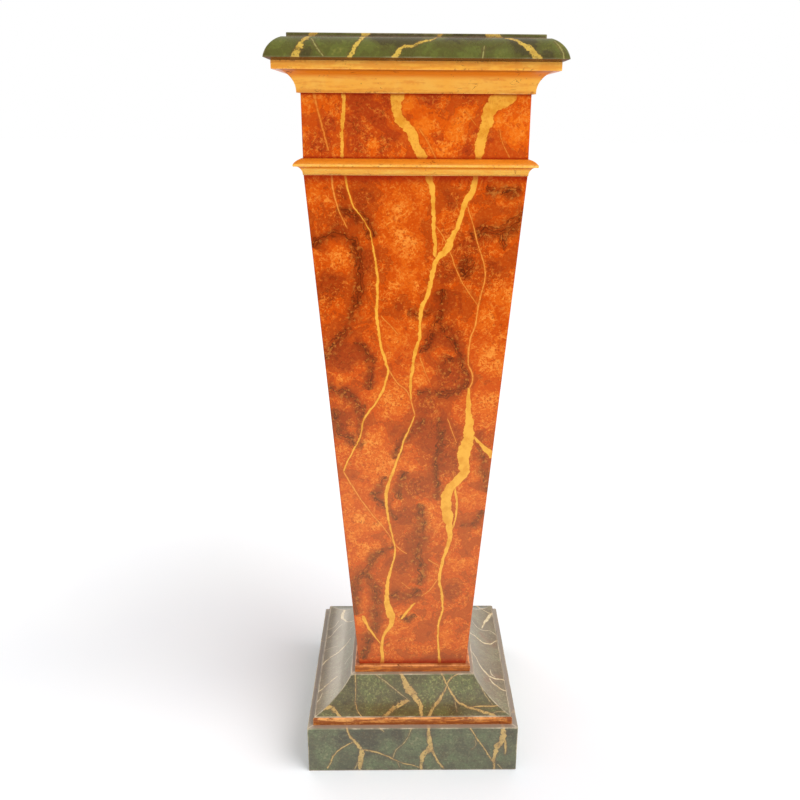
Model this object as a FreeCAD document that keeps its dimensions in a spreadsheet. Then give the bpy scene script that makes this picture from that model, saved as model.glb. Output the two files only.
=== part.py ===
import FreeCAD, Part
import math
import os

import Sketcher

# A square pedestal column: a moulded slab on a tapering shaft, on a moulded base.
# It is joinery. Boards and mouldings are mitred at the corners, four to a ring, round
# hidden boards, posts and blocks, and screws and pins hold them.
# Millimetres, +Z up. The origin is the middle of the underside, and the front faces -Y.
# Every ring is drawn at its back length (+Y) and turned about Z for the other three.

SIZES = {
    "overall_height": 1070,
    # The column's own box: its frieze, and the shaft where it meets the neck.
    "column_width": 280,
    "shaft_foot_width": 165,
    "board_thickness": 18,
    # Slab: a raised top, a ledge round it, a rounded edge, and a bevel under the overhang that
    # starts a little outside the cornice.
    "slab_thickness": 30.6,
    "slab_overhang": 7.8,
    "slab_rim_height": 4.8,
    "slab_rim_inset": 25,
    "slab_ledge": 5.5,
    "slab_round_bulge": 4,
    "slab_bevel_height": 2.5,
    "slab_bevel_start": 1.5,
    # Cornice: an upright fillet over a cove.
    "cornice_height": 35.2,
    "cornice_projection": 30,
    "cornice_fillet_height": 10,
    "cornice_step": 7.6,
    "cornice_foot_projection": 4.6,
    "cornice_lip_height": 1.2,
    "cornice_cove_hollow": 5,
    # Frieze: what shows of it between the cornice and the neck moulding.
    "frieze_height": 75.8,
    # Neck moulding: a sloping roll with a nose, a step under it and a small cove.
    "neck_height": 20.2,
    "neck_projection": 11.8,
    "neck_roll_height": 7.2,
    "neck_roll_bulge": 1.5,
    "neck_nose_height": 2.4,
    "neck_step": 4.2,
    "neck_foot_projection": 0.8,
    "neck_lip_height": 0.8,
    "neck_cove_hollow": 1.8,
    # Base, from the shaft's foot outwards and down.
    "foot_bead_height": 11.5,
    "foot_bead_projection": 7.5,
    "bead_round": 1.8,
    "cavetto_height": 38.8,
    "cavetto_ledge": 5.9,
    "cavetto_spread": 54.5,
    "cavetto_hollow": 7.5,
    "cavetto_lip_height": 1,
    "base_bead_height": 12.2,
    "base_bead_ledge": 2,
    "base_bead_strip": 7,
    "plinth_height": 81,
    "plinth_ledge": 8.6,
    "plinth_thickness": 22,
    # Hidden boards, cleats, posts and blocks.
    "neck_board_thickness": 16,
    "bottom_board_thickness": 12,
    "cleat_height": 20,
    "cleat_width": 20,
    "frieze_block_width": 24,
    "shaft_post_width": 24,
    "plinth_block_width": 36,
    # Countersunk wood screws and headless pins.
    "screw_head_diameter": 8.8,
    "screw_shank_diameter": 4.4,
    "screw_head_height": 2.6,
    "screw_point_length": 5,
    "slab_screw_length": 36,
    "slab_screw_spread": 70,
    "neck_screw_length": 45,
    "deck_screw_length": 45,
    "plinth_screw_length": 38,
    "cavetto_screw_length": 30,
    "bottom_screw_length": 35,
    "pin_diameter": 1.6,
    "pin_setback": 2,
    "pin_spread": 95,
    "cornice_pin_length": 36,
    "neck_pin_length": 24,
    # Waste that the mitre saw takes past the end of a length.
    "saw_allowance": 10,
}

# Heights of the joints, as expressions on the sheet.
DECK_TOP = "(Sizes.plinth_height + Sizes.base_bead_height)"
CAVETTO_TOP = f"({DECK_TOP} + Sizes.cavetto_height)"
FOOT_BEAD_TOP = f"({CAVETTO_TOP} + Sizes.foot_bead_height)"
SLAB_BOTTOM = "(Sizes.overall_height - Sizes.slab_thickness)"
CORNICE_BOTTOM = f"({SLAB_BOTTOM} - Sizes.cornice_height)"
NECK_TOP = f"({CORNICE_BOTTOM} - Sizes.frieze_height)"
SHAFT_TOP = f"({NECK_TOP} - Sizes.neck_height)"
NECK_BOARD_TOP = f"({SHAFT_TOP} + Sizes.neck_board_thickness)"
CLEAT_BOTTOM = f"({SLAB_BOTTOM} - Sizes.cleat_height)"
NECK_NOSE = f"({NECK_TOP} - Sizes.neck_roll_height)"

# Distances of the faces from the column's middle.
COLUMN_FACE = "(Sizes.column_width / 2)"
COLUMN_INSIDE = f"({COLUMN_FACE} - Sizes.board_thickness)"
FOOT_FACE = "(Sizes.shaft_foot_width / 2)"
FOOT_INSIDE = f"({FOOT_FACE} - Sizes.board_thickness)"
CORNICE_FACE = f"({COLUMN_FACE} + Sizes.cornice_projection)"
SLAB_FACE = f"({CORNICE_FACE} + Sizes.slab_overhang)"
NECK_FACE = f"({COLUMN_FACE} + Sizes.neck_projection)"


def shaft_face(level):
    """The shaft's half width at a height: it tapers evenly from neck to foot."""
    rise = f"({level} - {DECK_TOP}) / ({SHAFT_TOP} - {DECK_TOP})"
    return f"({FOOT_FACE} + ({COLUMN_FACE} - {FOOT_FACE}) * {rise})"


FOOT_BEAD_FACE = f"({shaft_face(CAVETTO_TOP)} + Sizes.foot_bead_projection)"
CAVETTO_HEAD = f"({FOOT_BEAD_FACE} + Sizes.cavetto_ledge)"
CAVETTO_FOOT = f"({CAVETTO_HEAD} + Sizes.cavetto_spread)"
BASE_BEAD_FACE = f"({CAVETTO_FOOT} + Sizes.base_bead_ledge)"
DECK_EDGE = f"({BASE_BEAD_FACE} - Sizes.base_bead_strip)"
PLINTH_FACE = f"({BASE_BEAD_FACE} + Sizes.plinth_ledge)"
PLINTH_INSIDE = f"({PLINTH_FACE} - Sizes.plinth_thickness)"

SIDES = {"back": 0, "left": 90, "front": 180, "right": 270}
CORNERS = {"back_right": 0, "back_left": 90, "front_left": 180, "front_right": 270}
# How far a quarter circle stands off its chord, per unit of radius.
QUARTER_BULGE = "(1 - sqrt(0.5))"

doc = FreeCAD.newDocument("pedestal")
nodes = {}


def fill_sheet():
    """Write each size into its own cell, under its name."""
    sheet = doc.addObject("Spreadsheet::Sheet", "Sizes")
    for row, (name, value) in enumerate(SIZES.items(), start=1):
        sheet.set(f"A{row}", name)
        sheet.set(f"B{row}", str(value))
        sheet.setAlias(f"B{row}", name)
    doc.recompute()


def value_of(expression):
    """An expression's value with the sheet as it stands."""
    return float(doc.getObject("Sizes").evalExpression(expression))


def new_body(label, turn=0):
    """An empty body, turned about the column's upright axis."""
    body = doc.addObject("PartDesign::Body", label)
    body.Label = label
    body.Placement.Rotation = FreeCAD.Rotation(FreeCAD.Vector(0, 0, 1), turn)
    return body


def origin_feature(body, role):
    """One of the body's own origin planes or axes."""
    return next(item for item in body.Origin.OriginFeatures if item.Role == role)


def new_sketch(body, name, plane, offset=("0", "0", "0")):
    """A sketch on one of the body's own planes, its origin moved by an offset."""
    sketch = body.newObject("Sketcher::SketchObject", name)
    sketch.AttachmentSupport = [(origin_feature(body, plane), "")]
    sketch.MapMode = "FlatFace"
    for axis, expression in zip("xyz", offset):
        sketch.setExpression(f"AttachmentOffset.Base.{axis}", expression)
    return sketch


def bind(sketch, kind, *arguments):
    """Add a constraint whose last argument is an expression on the sheet."""
    *geometry, expression = arguments
    index = sketch.addConstraint(Sketcher.Constraint(kind, *geometry, value_of(expression)))
    sketch.setExpression(f"Constraints[{index}]", expression)


def straight(start, end):
    """A straight edge, and the vertex numbers of its start and end."""
    return Part.LineSegment(FreeCAD.Vector(*start), FreeCAD.Vector(*end)), 1, 2


def bulging(start, end, bulge):
    """An arc that stands off its chord by the bulge, to the left of its way if positive."""
    chord = FreeCAD.Vector(*end) - FreeCAD.Vector(*start)
    radius = chord.Length ** 2 / (8 * abs(bulge)) + abs(bulge) / 2
    left = FreeCAD.Vector(-chord.y, chord.x, 0).normalize()
    offset = math.copysign(radius - abs(bulge), bulge)
    centre = FreeCAD.Vector(*start) + chord * 0.5 - left * offset
    circle = Part.Circle(centre, FreeCAD.Vector(0, 0, 1), radius)
    angles = [math.atan2(y - centre.y, x - centre.x) for x, y in (start, end)]
    if bulge > 0:
        return Part.ArcOfCircle(circle, angles[1], angles[0]), 2, 1
    return Part.ArcOfCircle(circle, angles[0], angles[1]), 1, 2


def draw_outline(sketch, corners):
    """A closed outline, fully constrained.

    A corner is (across, up), or (across, up, bulge) where the edge that arrives is an arc.
    """
    spots = [(value_of(corner[0]), value_of(corner[1])) for corner in corners]
    edges = []
    for index, start in enumerate(spots):
        arriving = (index + 1) % len(spots)
        end = spots[arriving]
        if len(corners[arriving]) > 2:
            curve, first, last = bulging(start, end, value_of(corners[arriving][2]))
        else:
            curve, first, last = straight(start, end)
        edges.append((sketch.addGeometry(curve), first, last))
    for index, (edge, first, last) in enumerate(edges):
        arriving = (index + 1) % len(edges)
        follower, follower_first, _ = edges[arriving]
        across, up = corners[index][:2]
        sketch.addConstraint(Sketcher.Constraint("Coincident", edge, last, follower, follower_first))
        bind(sketch, "DistanceX", edge, first, across)
        bind(sketch, "DistanceY", edge, first, up)
        if len(corners[arriving]) > 2:
            bind(sketch, "Radius", edge, arc_radius(corners[index], corners[arriving]))


def arc_radius(start, end):
    """The radius of an arc from its two corners and its bulge, as an expression."""
    run = f"({end[0]} - {start[0]})"
    rise = f"({end[1]} - {start[1]})"
    return f"({run} ^ 2 + {rise} ^ 2) / (8 * abs({end[2]})) + abs({end[2]}) / 2"


def pad(body, name, sketch, length, symmetric=False):
    """Give a sketch its thickness."""
    feature = body.newObject("PartDesign::Pad", name)
    feature.Profile = sketch
    feature.SideType = "Symmetric" if symmetric else "One side"
    feature.setExpression("Length", length)
    return feature


def cut_through(body, name, sketch):
    """Cut a sketch's outline right through the body, both ways from its plane."""
    feature = body.newObject("PartDesign::Pocket", name)
    feature.Profile = sketch
    feature.Type = "ThroughAll"
    feature.SideType = "Symmetric"
    return feature


def repeat_round(body, name, originals):
    """Repeat features on all four sides of the column."""
    pattern = body.newObject("PartDesign::PolarPattern", name)
    pattern.Originals = originals
    pattern.Axis = (origin_feature(body, "Z_Axis"), [""])
    pattern.Angle = 360
    pattern.Occurrences = len(SIDES)
    body.Tip = pattern
    return pattern


def rectangle(low_across, low_up, high_across, high_up):
    """The corners of an upright rectangle."""
    return [(low_across, low_up), (high_across, low_up), (high_across, high_up), (low_across, high_up)]


def square(half):
    """The corners of a square about the column's middle."""
    return rectangle(f"-{half}", f"-{half}", half, half)


def drilled(label, blank, fasteners):
    """The blank with the seats of its screws and pins cut into it."""
    piece = blank
    for fastener in fasteners:
        cut = doc.addObject("Part::Cut", f"{label}_at_{fastener.Name}")
        cut.Base = piece
        cut.Tool = fastener
        piece = cut
    if piece is not blank:
        blank.Label = f"{label}_blank"
    piece.Label = label
    nodes[label] = piece


def mitred_ring(name, outer, profile, fasteners=()):
    """Four lengths of one profile, mitred round the column; outer is the farthest face."""
    reach = f"({outer} + Sizes.saw_allowance)"
    waste = [
        ("0", "0"),
        (reach, reach),
        (reach, "-Sizes.saw_allowance"),
        (f"-{reach}", "-Sizes.saw_allowance"),
        (f"-{reach}", reach),
    ]
    for side, turn in SIDES.items():
        label = f"{name}_{side}"
        body = new_body(label, turn)
        section = new_sketch(body, "Section", "YZ_Plane")
        draw_outline(section, profile)
        pad(body, "Length", section, f"2 * {outer}", symmetric=True)
        mitre = new_sketch(body, "MitreLines", "XY_Plane")
        draw_outline(mitre, waste)
        cut_through(body, "Mitres", mitre)
        drilled(label, body, fasteners)


def plate(label, half, low, thickness, fasteners=()):
    """A square board across the column."""
    body = new_body(label)
    sketch = new_sketch(body, "Outline", "XY_Plane", ("0", "0", low))
    draw_outline(sketch, square(half))
    pad(body, "Thickness", sketch, thickness)
    drilled(label, body, fasteners)


def corner_posts(name, width, low, low_face, high, high_face, fasteners=()):
    """Four square posts glued into a box's corners; they lean as the box tapers."""
    for corner, turn in CORNERS.items():
        label = f"{name}_{corner}"
        body = new_body(label, turn)
        ends = []
        for end, level, face in (("Foot", low, low_face), ("Head", high, high_face)):
            sketch = new_sketch(body, end, "XY_Plane", ("0", "0", level))
            near = f"({face} - {width})"
            draw_outline(sketch, rectangle(near, near, face, face))
            ends.append(sketch)
        post = body.newObject("PartDesign::AdditiveLoft", "Post")
        post.Profile = ends[0]
        post.Sections = ends[1:]
        post.Ruled = True
        drilled(label, body, fasteners)


def screw_outline(length, way):
    """Half a countersunk screw beside its axis, its head's face at the sketch's origin."""
    head = "(Sizes.screw_head_diameter / 2)"
    shank = "(Sizes.screw_shank_diameter / 2)"
    point = f"({length} - Sizes.screw_point_length)"
    return [
        ("0", "0"),
        (head, "0"),
        (shank, f"{way} * Sizes.screw_head_height"),
        (shank, f"{way} * {point}"),
        ("0", f"{way} * {length}"),
    ]


def screws(label, spots, level, way, length):
    """Screws at the spots and round the other sides; way is 1 for up and -1 for down."""
    body = new_body(label)
    body.AllowCompound = True
    turned = []
    for across, along in spots:
        number = len(turned)
        sketch = new_sketch(body, f"HalfScrew{number}", "YZ_Plane", (along, level, across))
        draw_outline(sketch, screw_outline(length, way))
        screw = body.newObject("PartDesign::Revolution", f"Screw{number}")
        screw.Profile = sketch
        screw.ReferenceAxis = (sketch, ["V_Axis"])
        screw.Angle = 360
        turned.append(screw)
    repeat_round(body, "AllSides", turned)
    nodes[label] = body
    return body


def pins(label, face, level, length):
    """Two headless pins a side, set in under the moulding's face."""
    body = new_body(label)
    body.AllowCompound = True
    near = f"({face} - Sizes.pin_setback - {length})"
    sketch = new_sketch(body, "PinEnds", "XZ_Plane", ("0", "0", f"-{near}"))
    for way in (-1, 1):
        circle = sketch.addGeometry(
            Part.Circle(
                FreeCAD.Vector(way * value_of("Sizes.pin_spread"), value_of(level), 0),
                FreeCAD.Vector(0, 0, 1),
                value_of("Sizes.pin_diameter / 2"),
            )
        )
        bind(sketch, "DistanceX", circle, 3, f"{way} * Sizes.pin_spread")
        bind(sketch, "DistanceY", circle, 3, level)
        bind(sketch, "Diameter", circle, "Sizes.pin_diameter")
    pair = pad(body, "Pins", sketch, length)
    pair.Reversed = True
    repeat_round(body, "AllSides", [pair])
    nodes[label] = body
    return body


def add_fasteners():
    """All the screws and pins, which the boards' own holes then follow."""
    post_head = f"({COLUMN_INSIDE} - Sizes.shaft_post_width / 2)"
    post_foot = f"({FOOT_INSIDE} - Sizes.shaft_post_width / 2)"
    block = f"({PLINTH_INSIDE} - Sizes.plinth_block_width / 2)"
    cleat = f"({COLUMN_INSIDE} - Sizes.cleat_width / 2)"
    cavetto = f"(({FOOT_FACE} + {CAVETTO_HEAD}) / 2)"
    spread = "Sizes.slab_screw_spread"
    slab_spots = [(f"-{spread}", cleat), (spread, cleat)]
    plinth_top = "Sizes.plinth_height"
    fillet_middle = f"({SLAB_BOTTOM} - Sizes.cornice_fillet_height / 2)"
    nose_middle = f"({NECK_NOSE} - Sizes.neck_nose_height / 2)"
    return {
        "slab": screws("slab_screws", slab_spots, CLEAT_BOTTOM, 1, "Sizes.slab_screw_length"),
        "neck": screws(
            "neck_screws", [(post_head, post_head)], NECK_BOARD_TOP, -1, "Sizes.neck_screw_length"
        ),
        "deck": screws(
            "deck_screws", [(post_foot, post_foot)], plinth_top, 1, "Sizes.deck_screw_length"
        ),
        "plinth": screws(
            "plinth_screws", [(block, block)], DECK_TOP, -1, "Sizes.plinth_screw_length"
        ),
        "cavetto": screws(
            "cavetto_screws", [("0", cavetto)], plinth_top, 1, "Sizes.cavetto_screw_length"
        ),
        "bottom": screws("bottom_screws", [(block, block)], "0", 1, "Sizes.bottom_screw_length"),
        "cornice_pins": pins(
            "cornice_pins", CORNICE_FACE, fillet_middle, "Sizes.cornice_pin_length"
        ),
        "neck_pins": pins("neck_pins", NECK_FACE, nose_middle, "Sizes.neck_pin_length"),
    }


def add_top_slab(fasteners):
    """The slab: a square board with one edge moulded, and the cuts repeated on all four."""
    body = new_body("top_slab")
    sketch = new_sketch(body, "Outline", "XY_Plane", ("0", "0", SLAB_BOTTOM))
    draw_outline(sketch, square(SLAB_FACE))
    pad(body, "Board", sketch, "Sizes.slab_thickness")
    top = "Sizes.overall_height"
    ledge_level = f"({top} - Sizes.slab_rim_height)"
    rim = f"({SLAB_FACE} - Sizes.slab_rim_inset)"
    edge_level = f"({SLAB_BOTTOM} + Sizes.slab_bevel_height)"
    bevel_start = f"({CORNICE_FACE} + Sizes.slab_bevel_start)"
    clear_face = f"({SLAB_FACE} + Sizes.saw_allowance)"
    clear_top = f"({top} + Sizes.saw_allowance)"
    clear_bottom = f"({SLAB_BOTTOM} - Sizes.saw_allowance)"
    edge_waste = [
        (rim, clear_top),
        (rim, ledge_level),
        (f"({rim} + Sizes.slab_ledge)", ledge_level),
        (SLAB_FACE, edge_level, "Sizes.slab_round_bulge"),
        (clear_face, edge_level),
        (clear_face, clear_top),
    ]
    bevel_waste = [
        (bevel_start, SLAB_BOTTOM),
        (bevel_start, clear_bottom),
        (clear_face, clear_bottom),
        (clear_face, edge_level),
        (SLAB_FACE, edge_level),
    ]
    cuts = []
    for name, waste in (("Edge", edge_waste), ("Bevel", bevel_waste)):
        section = new_sketch(body, f"{name}Waste", "YZ_Plane")
        draw_outline(section, waste)
        cuts.append(cut_through(body, f"{name}Cut", section))
    repeat_round(body, "AllEdges", cuts)
    drilled("top_slab", body, [fasteners["slab"]])


def add_capital(fasteners):
    """Cornice, frieze, neck moulding and what they are fixed to."""
    step_face = f"({CORNICE_FACE} - Sizes.cornice_step)"
    foot_face = f"({COLUMN_FACE} + Sizes.cornice_foot_projection)"
    fillet_bottom = f"({SLAB_BOTTOM} - Sizes.cornice_fillet_height)"
    cornice = [
        (COLUMN_FACE, CORNICE_BOTTOM),
        (foot_face, CORNICE_BOTTOM),
        (foot_face, f"({CORNICE_BOTTOM} + Sizes.cornice_lip_height)"),
        (step_face, fillet_bottom, "Sizes.cornice_cove_hollow"),
        (CORNICE_FACE, fillet_bottom),
        (CORNICE_FACE, SLAB_BOTTOM),
        (COLUMN_FACE, SLAB_BOTTOM),
    ]
    mitred_ring("cornice", CORNICE_FACE, cornice, [fasteners["cornice_pins"]])
    frieze = rectangle(COLUMN_INSIDE, NECK_BOARD_TOP, COLUMN_FACE, SLAB_BOTTOM)
    mitred_ring("frieze_board", COLUMN_FACE, frieze, [fasteners["cornice_pins"]])
    cleat_face = f"({COLUMN_INSIDE} - Sizes.cleat_width)"
    cleat = rectangle(cleat_face, CLEAT_BOTTOM, COLUMN_INSIDE, SLAB_BOTTOM)
    mitred_ring("top_cleat", COLUMN_INSIDE, cleat, [fasteners["slab"]])
    corner_posts(
        "frieze_block", "Sizes.frieze_block_width",
        NECK_BOARD_TOP, COLUMN_INSIDE, CLEAT_BOTTOM, COLUMN_INSIDE,
    )
    neck_fasteners = [fasteners["neck"], fasteners["neck_pins"]]
    plate("neck_board", COLUMN_FACE, SHAFT_TOP, "Sizes.neck_board_thickness", neck_fasteners)
    nose_bottom = f"({NECK_NOSE} - Sizes.neck_nose_height)"
    neck_foot = f"({COLUMN_FACE} + Sizes.neck_foot_projection)"
    neck = [
        (COLUMN_FACE, SHAFT_TOP),
        (neck_foot, SHAFT_TOP),
        (neck_foot, f"({SHAFT_TOP} + Sizes.neck_lip_height)"),
        (f"({NECK_FACE} - Sizes.neck_step)", nose_bottom, "Sizes.neck_cove_hollow"),
        (NECK_FACE, nose_bottom),
        (NECK_FACE, NECK_NOSE),
        (COLUMN_FACE, NECK_TOP, "-Sizes.neck_roll_bulge"),
    ]
    mitred_ring("neck_moulding", NECK_FACE, neck, [fasteners["neck_pins"]])


def add_shaft(fasteners):
    """The tapering boards and the leaning posts in their corners."""
    board = [
        (FOOT_INSIDE, DECK_TOP),
        (FOOT_FACE, DECK_TOP),
        (COLUMN_FACE, SHAFT_TOP),
        (COLUMN_INSIDE, SHAFT_TOP),
    ]
    mitred_ring("shaft_board", COLUMN_FACE, board)
    corner_posts(
        "shaft_post", "Sizes.shaft_post_width",
        DECK_TOP, FOOT_INSIDE, SHAFT_TOP, COLUMN_INSIDE,
        [fasteners["neck"], fasteners["deck"]],
    )


def beaded(inner_low, inner_high, face, low, high):
    """A strip whose upper outer edge is rounded over."""
    bulge = f"-{QUARTER_BULGE} * Sizes.bead_round"
    return [
        (inner_low, low),
        (face, low),
        (face, f"({high} - Sizes.bead_round)"),
        (f"({face} - Sizes.bead_round)", high, bulge),
        (inner_high, high),
    ]


def add_base(fasteners):
    """Foot bead, cavetto, base bead, deck, plinth and its bottom board."""
    foot_bead = beaded(
        shaft_face(CAVETTO_TOP), shaft_face(FOOT_BEAD_TOP), FOOT_BEAD_FACE, CAVETTO_TOP, FOOT_BEAD_TOP
    )
    mitred_ring("foot_bead", FOOT_BEAD_FACE, foot_bead)
    cavetto = [
        (FOOT_FACE, DECK_TOP),
        (CAVETTO_FOOT, DECK_TOP),
        (CAVETTO_FOOT, f"({DECK_TOP} + Sizes.cavetto_lip_height)"),
        (CAVETTO_HEAD, CAVETTO_TOP, "Sizes.cavetto_hollow"),
        (shaft_face(CAVETTO_TOP), CAVETTO_TOP),
    ]
    mitred_ring("cavetto", CAVETTO_FOOT, cavetto, [fasteners["cavetto"]])
    plinth_top = "Sizes.plinth_height"
    base_bead = beaded(DECK_EDGE, DECK_EDGE, BASE_BEAD_FACE, plinth_top, DECK_TOP)
    mitred_ring("base_bead", BASE_BEAD_FACE, base_bead)
    deck_fasteners = [fasteners["deck"], fasteners["plinth"], fasteners["cavetto"]]
    plate("base_deck", DECK_EDGE, plinth_top, "Sizes.base_bead_height", deck_fasteners)
    plinth = rectangle(PLINTH_INSIDE, "0", PLINTH_FACE, plinth_top)
    mitred_ring("plinth_board", PLINTH_FACE, plinth)
    corner_posts(
        "plinth_block", "Sizes.plinth_block_width",
        "Sizes.bottom_board_thickness", PLINTH_INSIDE, plinth_top, PLINTH_INSIDE,
        [fasteners["plinth"], fasteners["bottom"]],
    )
    plate("bottom_board", PLINTH_INSIDE, "0", "Sizes.bottom_board_thickness", [fasteners["bottom"]])


def check_model():
    """Stop if a feature failed, a cut took nothing away or a piece isn't sound."""
    for item in doc.Objects:
        if "Invalid" in item.State or "Error" in item.State:
            raise RuntimeError(f"{item.Label} failed: {item.State}")
        if item.TypeId == "PartDesign::Pocket" and item.Shape.Volume >= item.BaseFeature.Shape.Volume:
            raise RuntimeError(f"{item.Label} in {item.getParent().Label} cuts nothing")
        if item.TypeId == "Part::Cut" and item.Shape.Volume >= item.Base.Shape.Volume:
            raise RuntimeError(f"{item.Label} cuts nothing")
    for label, piece in nodes.items():
        if piece.Shape.isNull() or not piece.Shape.isValid():
            raise RuntimeError(f"{label} is not a sound solid")


def write_pieces():
    """One file per node, named after it."""
    os.makedirs("parts", exist_ok=True)
    for label, piece in nodes.items():
        piece.Shape.exportStep(os.path.join("parts", f"{label}.step"))
        solids = len(piece.Shape.Solids)
        print(f"{label}: {solids} solid(s), {piece.Shape.Volume / 1000:.1f} cm3")


fill_sheet()
held_by = add_fasteners()
doc.recompute()
add_top_slab(held_by)
add_capital(held_by)
add_shaft(held_by)
add_base(held_by)
doc.recompute()
check_model()
write_pieces()
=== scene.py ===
"""Looks of the pedestal column stand: hand-painted marbling over mitred joinery.

Every painted length is a moulding's section carried along one side of the column and cut on
the corner's diagonal. The marbling is painted in layers: a mottled ground made by the shaders,
and veins, smoke and glazes that follow strokes laid out on each face. Sizes in the classes and
the stroke plans are millimetres; meshes are metres.
"""

import logging
import math
from dataclasses import dataclass, field, replace
from enum import Enum
from functools import cache, partialmethod
from typing import Callable, Iterable, Sequence

import bpy
import numpy as np
from mathutils import Matrix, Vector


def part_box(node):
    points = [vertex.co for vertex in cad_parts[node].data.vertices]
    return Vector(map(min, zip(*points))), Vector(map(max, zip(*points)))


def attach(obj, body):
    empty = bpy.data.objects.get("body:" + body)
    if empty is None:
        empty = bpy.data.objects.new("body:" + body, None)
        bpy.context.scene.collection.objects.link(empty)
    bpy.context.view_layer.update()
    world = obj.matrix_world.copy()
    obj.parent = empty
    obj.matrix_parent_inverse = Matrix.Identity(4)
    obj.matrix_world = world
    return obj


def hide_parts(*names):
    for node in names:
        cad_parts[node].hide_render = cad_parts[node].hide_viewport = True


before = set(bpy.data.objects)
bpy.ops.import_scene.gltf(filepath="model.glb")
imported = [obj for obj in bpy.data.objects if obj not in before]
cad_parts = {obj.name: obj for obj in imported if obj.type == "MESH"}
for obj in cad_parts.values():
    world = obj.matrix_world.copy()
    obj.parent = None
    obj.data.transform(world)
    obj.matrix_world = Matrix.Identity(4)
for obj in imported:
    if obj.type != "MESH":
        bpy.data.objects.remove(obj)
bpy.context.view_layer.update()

log = logging.getLogger("pedestal")

MM = 0.001
BODY = "root"
Array = np.ndarray
Fields = dict[str, Array]
Material = bpy.types.Material
Socket = bpy.types.NodeSocket
Sockets = dict[str, Socket]
Value = float | tuple | Socket


class Side(Enum):
    """The column's faces, each with the turn about Z, in degrees, that brings the front to it."""

    FRONT = 0
    RIGHT = 90
    BACK = 180
    LEFT = 270

    @property
    def tag(self) -> str:
        """The side's name as the nodes spell it."""
        return self.name.lower()


class Slot(Enum):
    """The record's material slots."""

    GREEN = "green_marble_paint"
    RED = "red_marble_paint"
    OCHRE = "ochre_paint"


# --- Strokes: what the painter laid on each face ---


@dataclass(frozen=True)
class Stroke:
    """One painted line on a face.

    points are (across, up) in millimetres, and widths are half widths spread evenly along it.
    """

    points: tuple[tuple[float, float], ...]
    widths: tuple[float, ...]

    def drawn(self) -> Array:
        """The stroke as the brush draws it: (across, up, half width) with its corners rounded."""
        points = np.array(self.points, float)
        reach = np.concatenate([[0.0], np.cumsum(np.hypot(*np.diff(points, axis=0).T))])
        widths = np.interp(reach, np.linspace(0, reach[-1], len(self.widths)), self.widths)
        rows = np.column_stack([points, widths])
        for _ in range(CORNER_CUTS):
            rows = cut_corners(rows)
        return rows

    def read(self, spots: Array) -> tuple[Array, Array]:
        """How each spot lies to the stroke.

        The offset is the distance to the stroke's line, positive to its left and negative to its
        right, so it runs evenly through zero on the line. The half width falls by as much as a
        spot lies past the stroke's end, so a stroke stops there.

        Args:
            spots: (across, up) of each vertex on the plan, in millimetres.

        Returns:
            How far each spot is from the stroke's edge, and its offset, half width and distance.
        """
        rows = self.drawn()
        start, wide = rows[:-1, :2], rows[:, 2]
        run = np.diff(rows[:, :2], axis=0)
        length = np.hypot(run[:, 0], run[:, 1])
        away = spots[:, None, :] - start[None, :, :]
        along = (away * run).sum(axis=2) / length**2
        share = np.clip(along, 0, 1)
        apart = away - share[..., None] * run
        distance = np.hypot(apart[..., 0], apart[..., 1])
        way = np.where(run[:, 0] * away[..., 1] - run[:, 1] * away[..., 0] < 0, -1.0, 1.0)
        width = wide[:-1] + np.diff(wide) * share
        width[:, 0] -= np.maximum(-along[:, 0], 0) * length[0]
        width[:, -1] -= np.maximum(along[:, -1] - 1, 0) * length[-1]
        gap = distance - WIDTH_PULL * np.maximum(width, 0)
        pick = np.arange(len(spots)), np.argmin(gap, axis=1)
        return gap[pick], np.column_stack([way[pick] * distance[pick], width[pick], distance[pick]])


CORNER_CUTS = 2
# How much of a stroke's half width counts in its favour where strokes lie close.
WIDTH_PULL = 0.9


def cut_corners(rows: Array) -> Array:
    """A line with its corners cut off a quarter of the way along the stretches beside them.

    Args:
        rows: its points, with whatever runs along with them.

    Returns:
        The rounder line; its two ends stay.
    """
    quarter = np.diff(rows, axis=0) / 4
    cuts = np.stack([rows[:-1] + quarter, rows[1:] - quarter], axis=1).reshape(-1, rows.shape[1])
    return np.concatenate([rows[:1], cuts[1:-1], rows[-1:]])


@dataclass(frozen=True)
class FacePlan:
    """The strokes of one face, as the front shows them.

    bold, fork, hair and cross are vein layers; strokes that cross or branch are in different
    ones. smoke is the dark cloudy network. glow are bright patches and shade are deep ones,
    each (across, up, radius).
    """

    bold: tuple[Stroke, ...] = ()
    fork: tuple[Stroke, ...] = ()
    hair: tuple[Stroke, ...] = ()
    cross: tuple[Stroke, ...] = ()
    smoke: tuple[Stroke, ...] = ()
    glow: tuple[tuple[float, float, float], ...] = ()
    shade: tuple[tuple[float, float, float], ...] = ()


@dataclass(frozen=True)
class Variation:
    """How another side's marbling departs from the front's.

    A mirrored side meets its neighbours vein to vein at the corners. Between them its strokes
    rise by lift of the face's height and lean aside by lean of its half width. They are as wide
    as the front's times broad.
    """

    mirror: int
    lift: float
    lean: float
    broad: float


VARIATIONS = {
    Side.FRONT: Variation(1, 0.0, 0.0, 1.0),
    Side.RIGHT: Variation(-1, 0.11, -0.22, 0.85),
    Side.BACK: Variation(1, -0.12, 0.30, 1.0),
    Side.LEFT: Variation(-1, -0.08, 0.26, 0.75),
}

FAR_AWAY = 1000.0
VEIN_LAYERS = ("bold", "fork", "hair", "cross")


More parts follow.
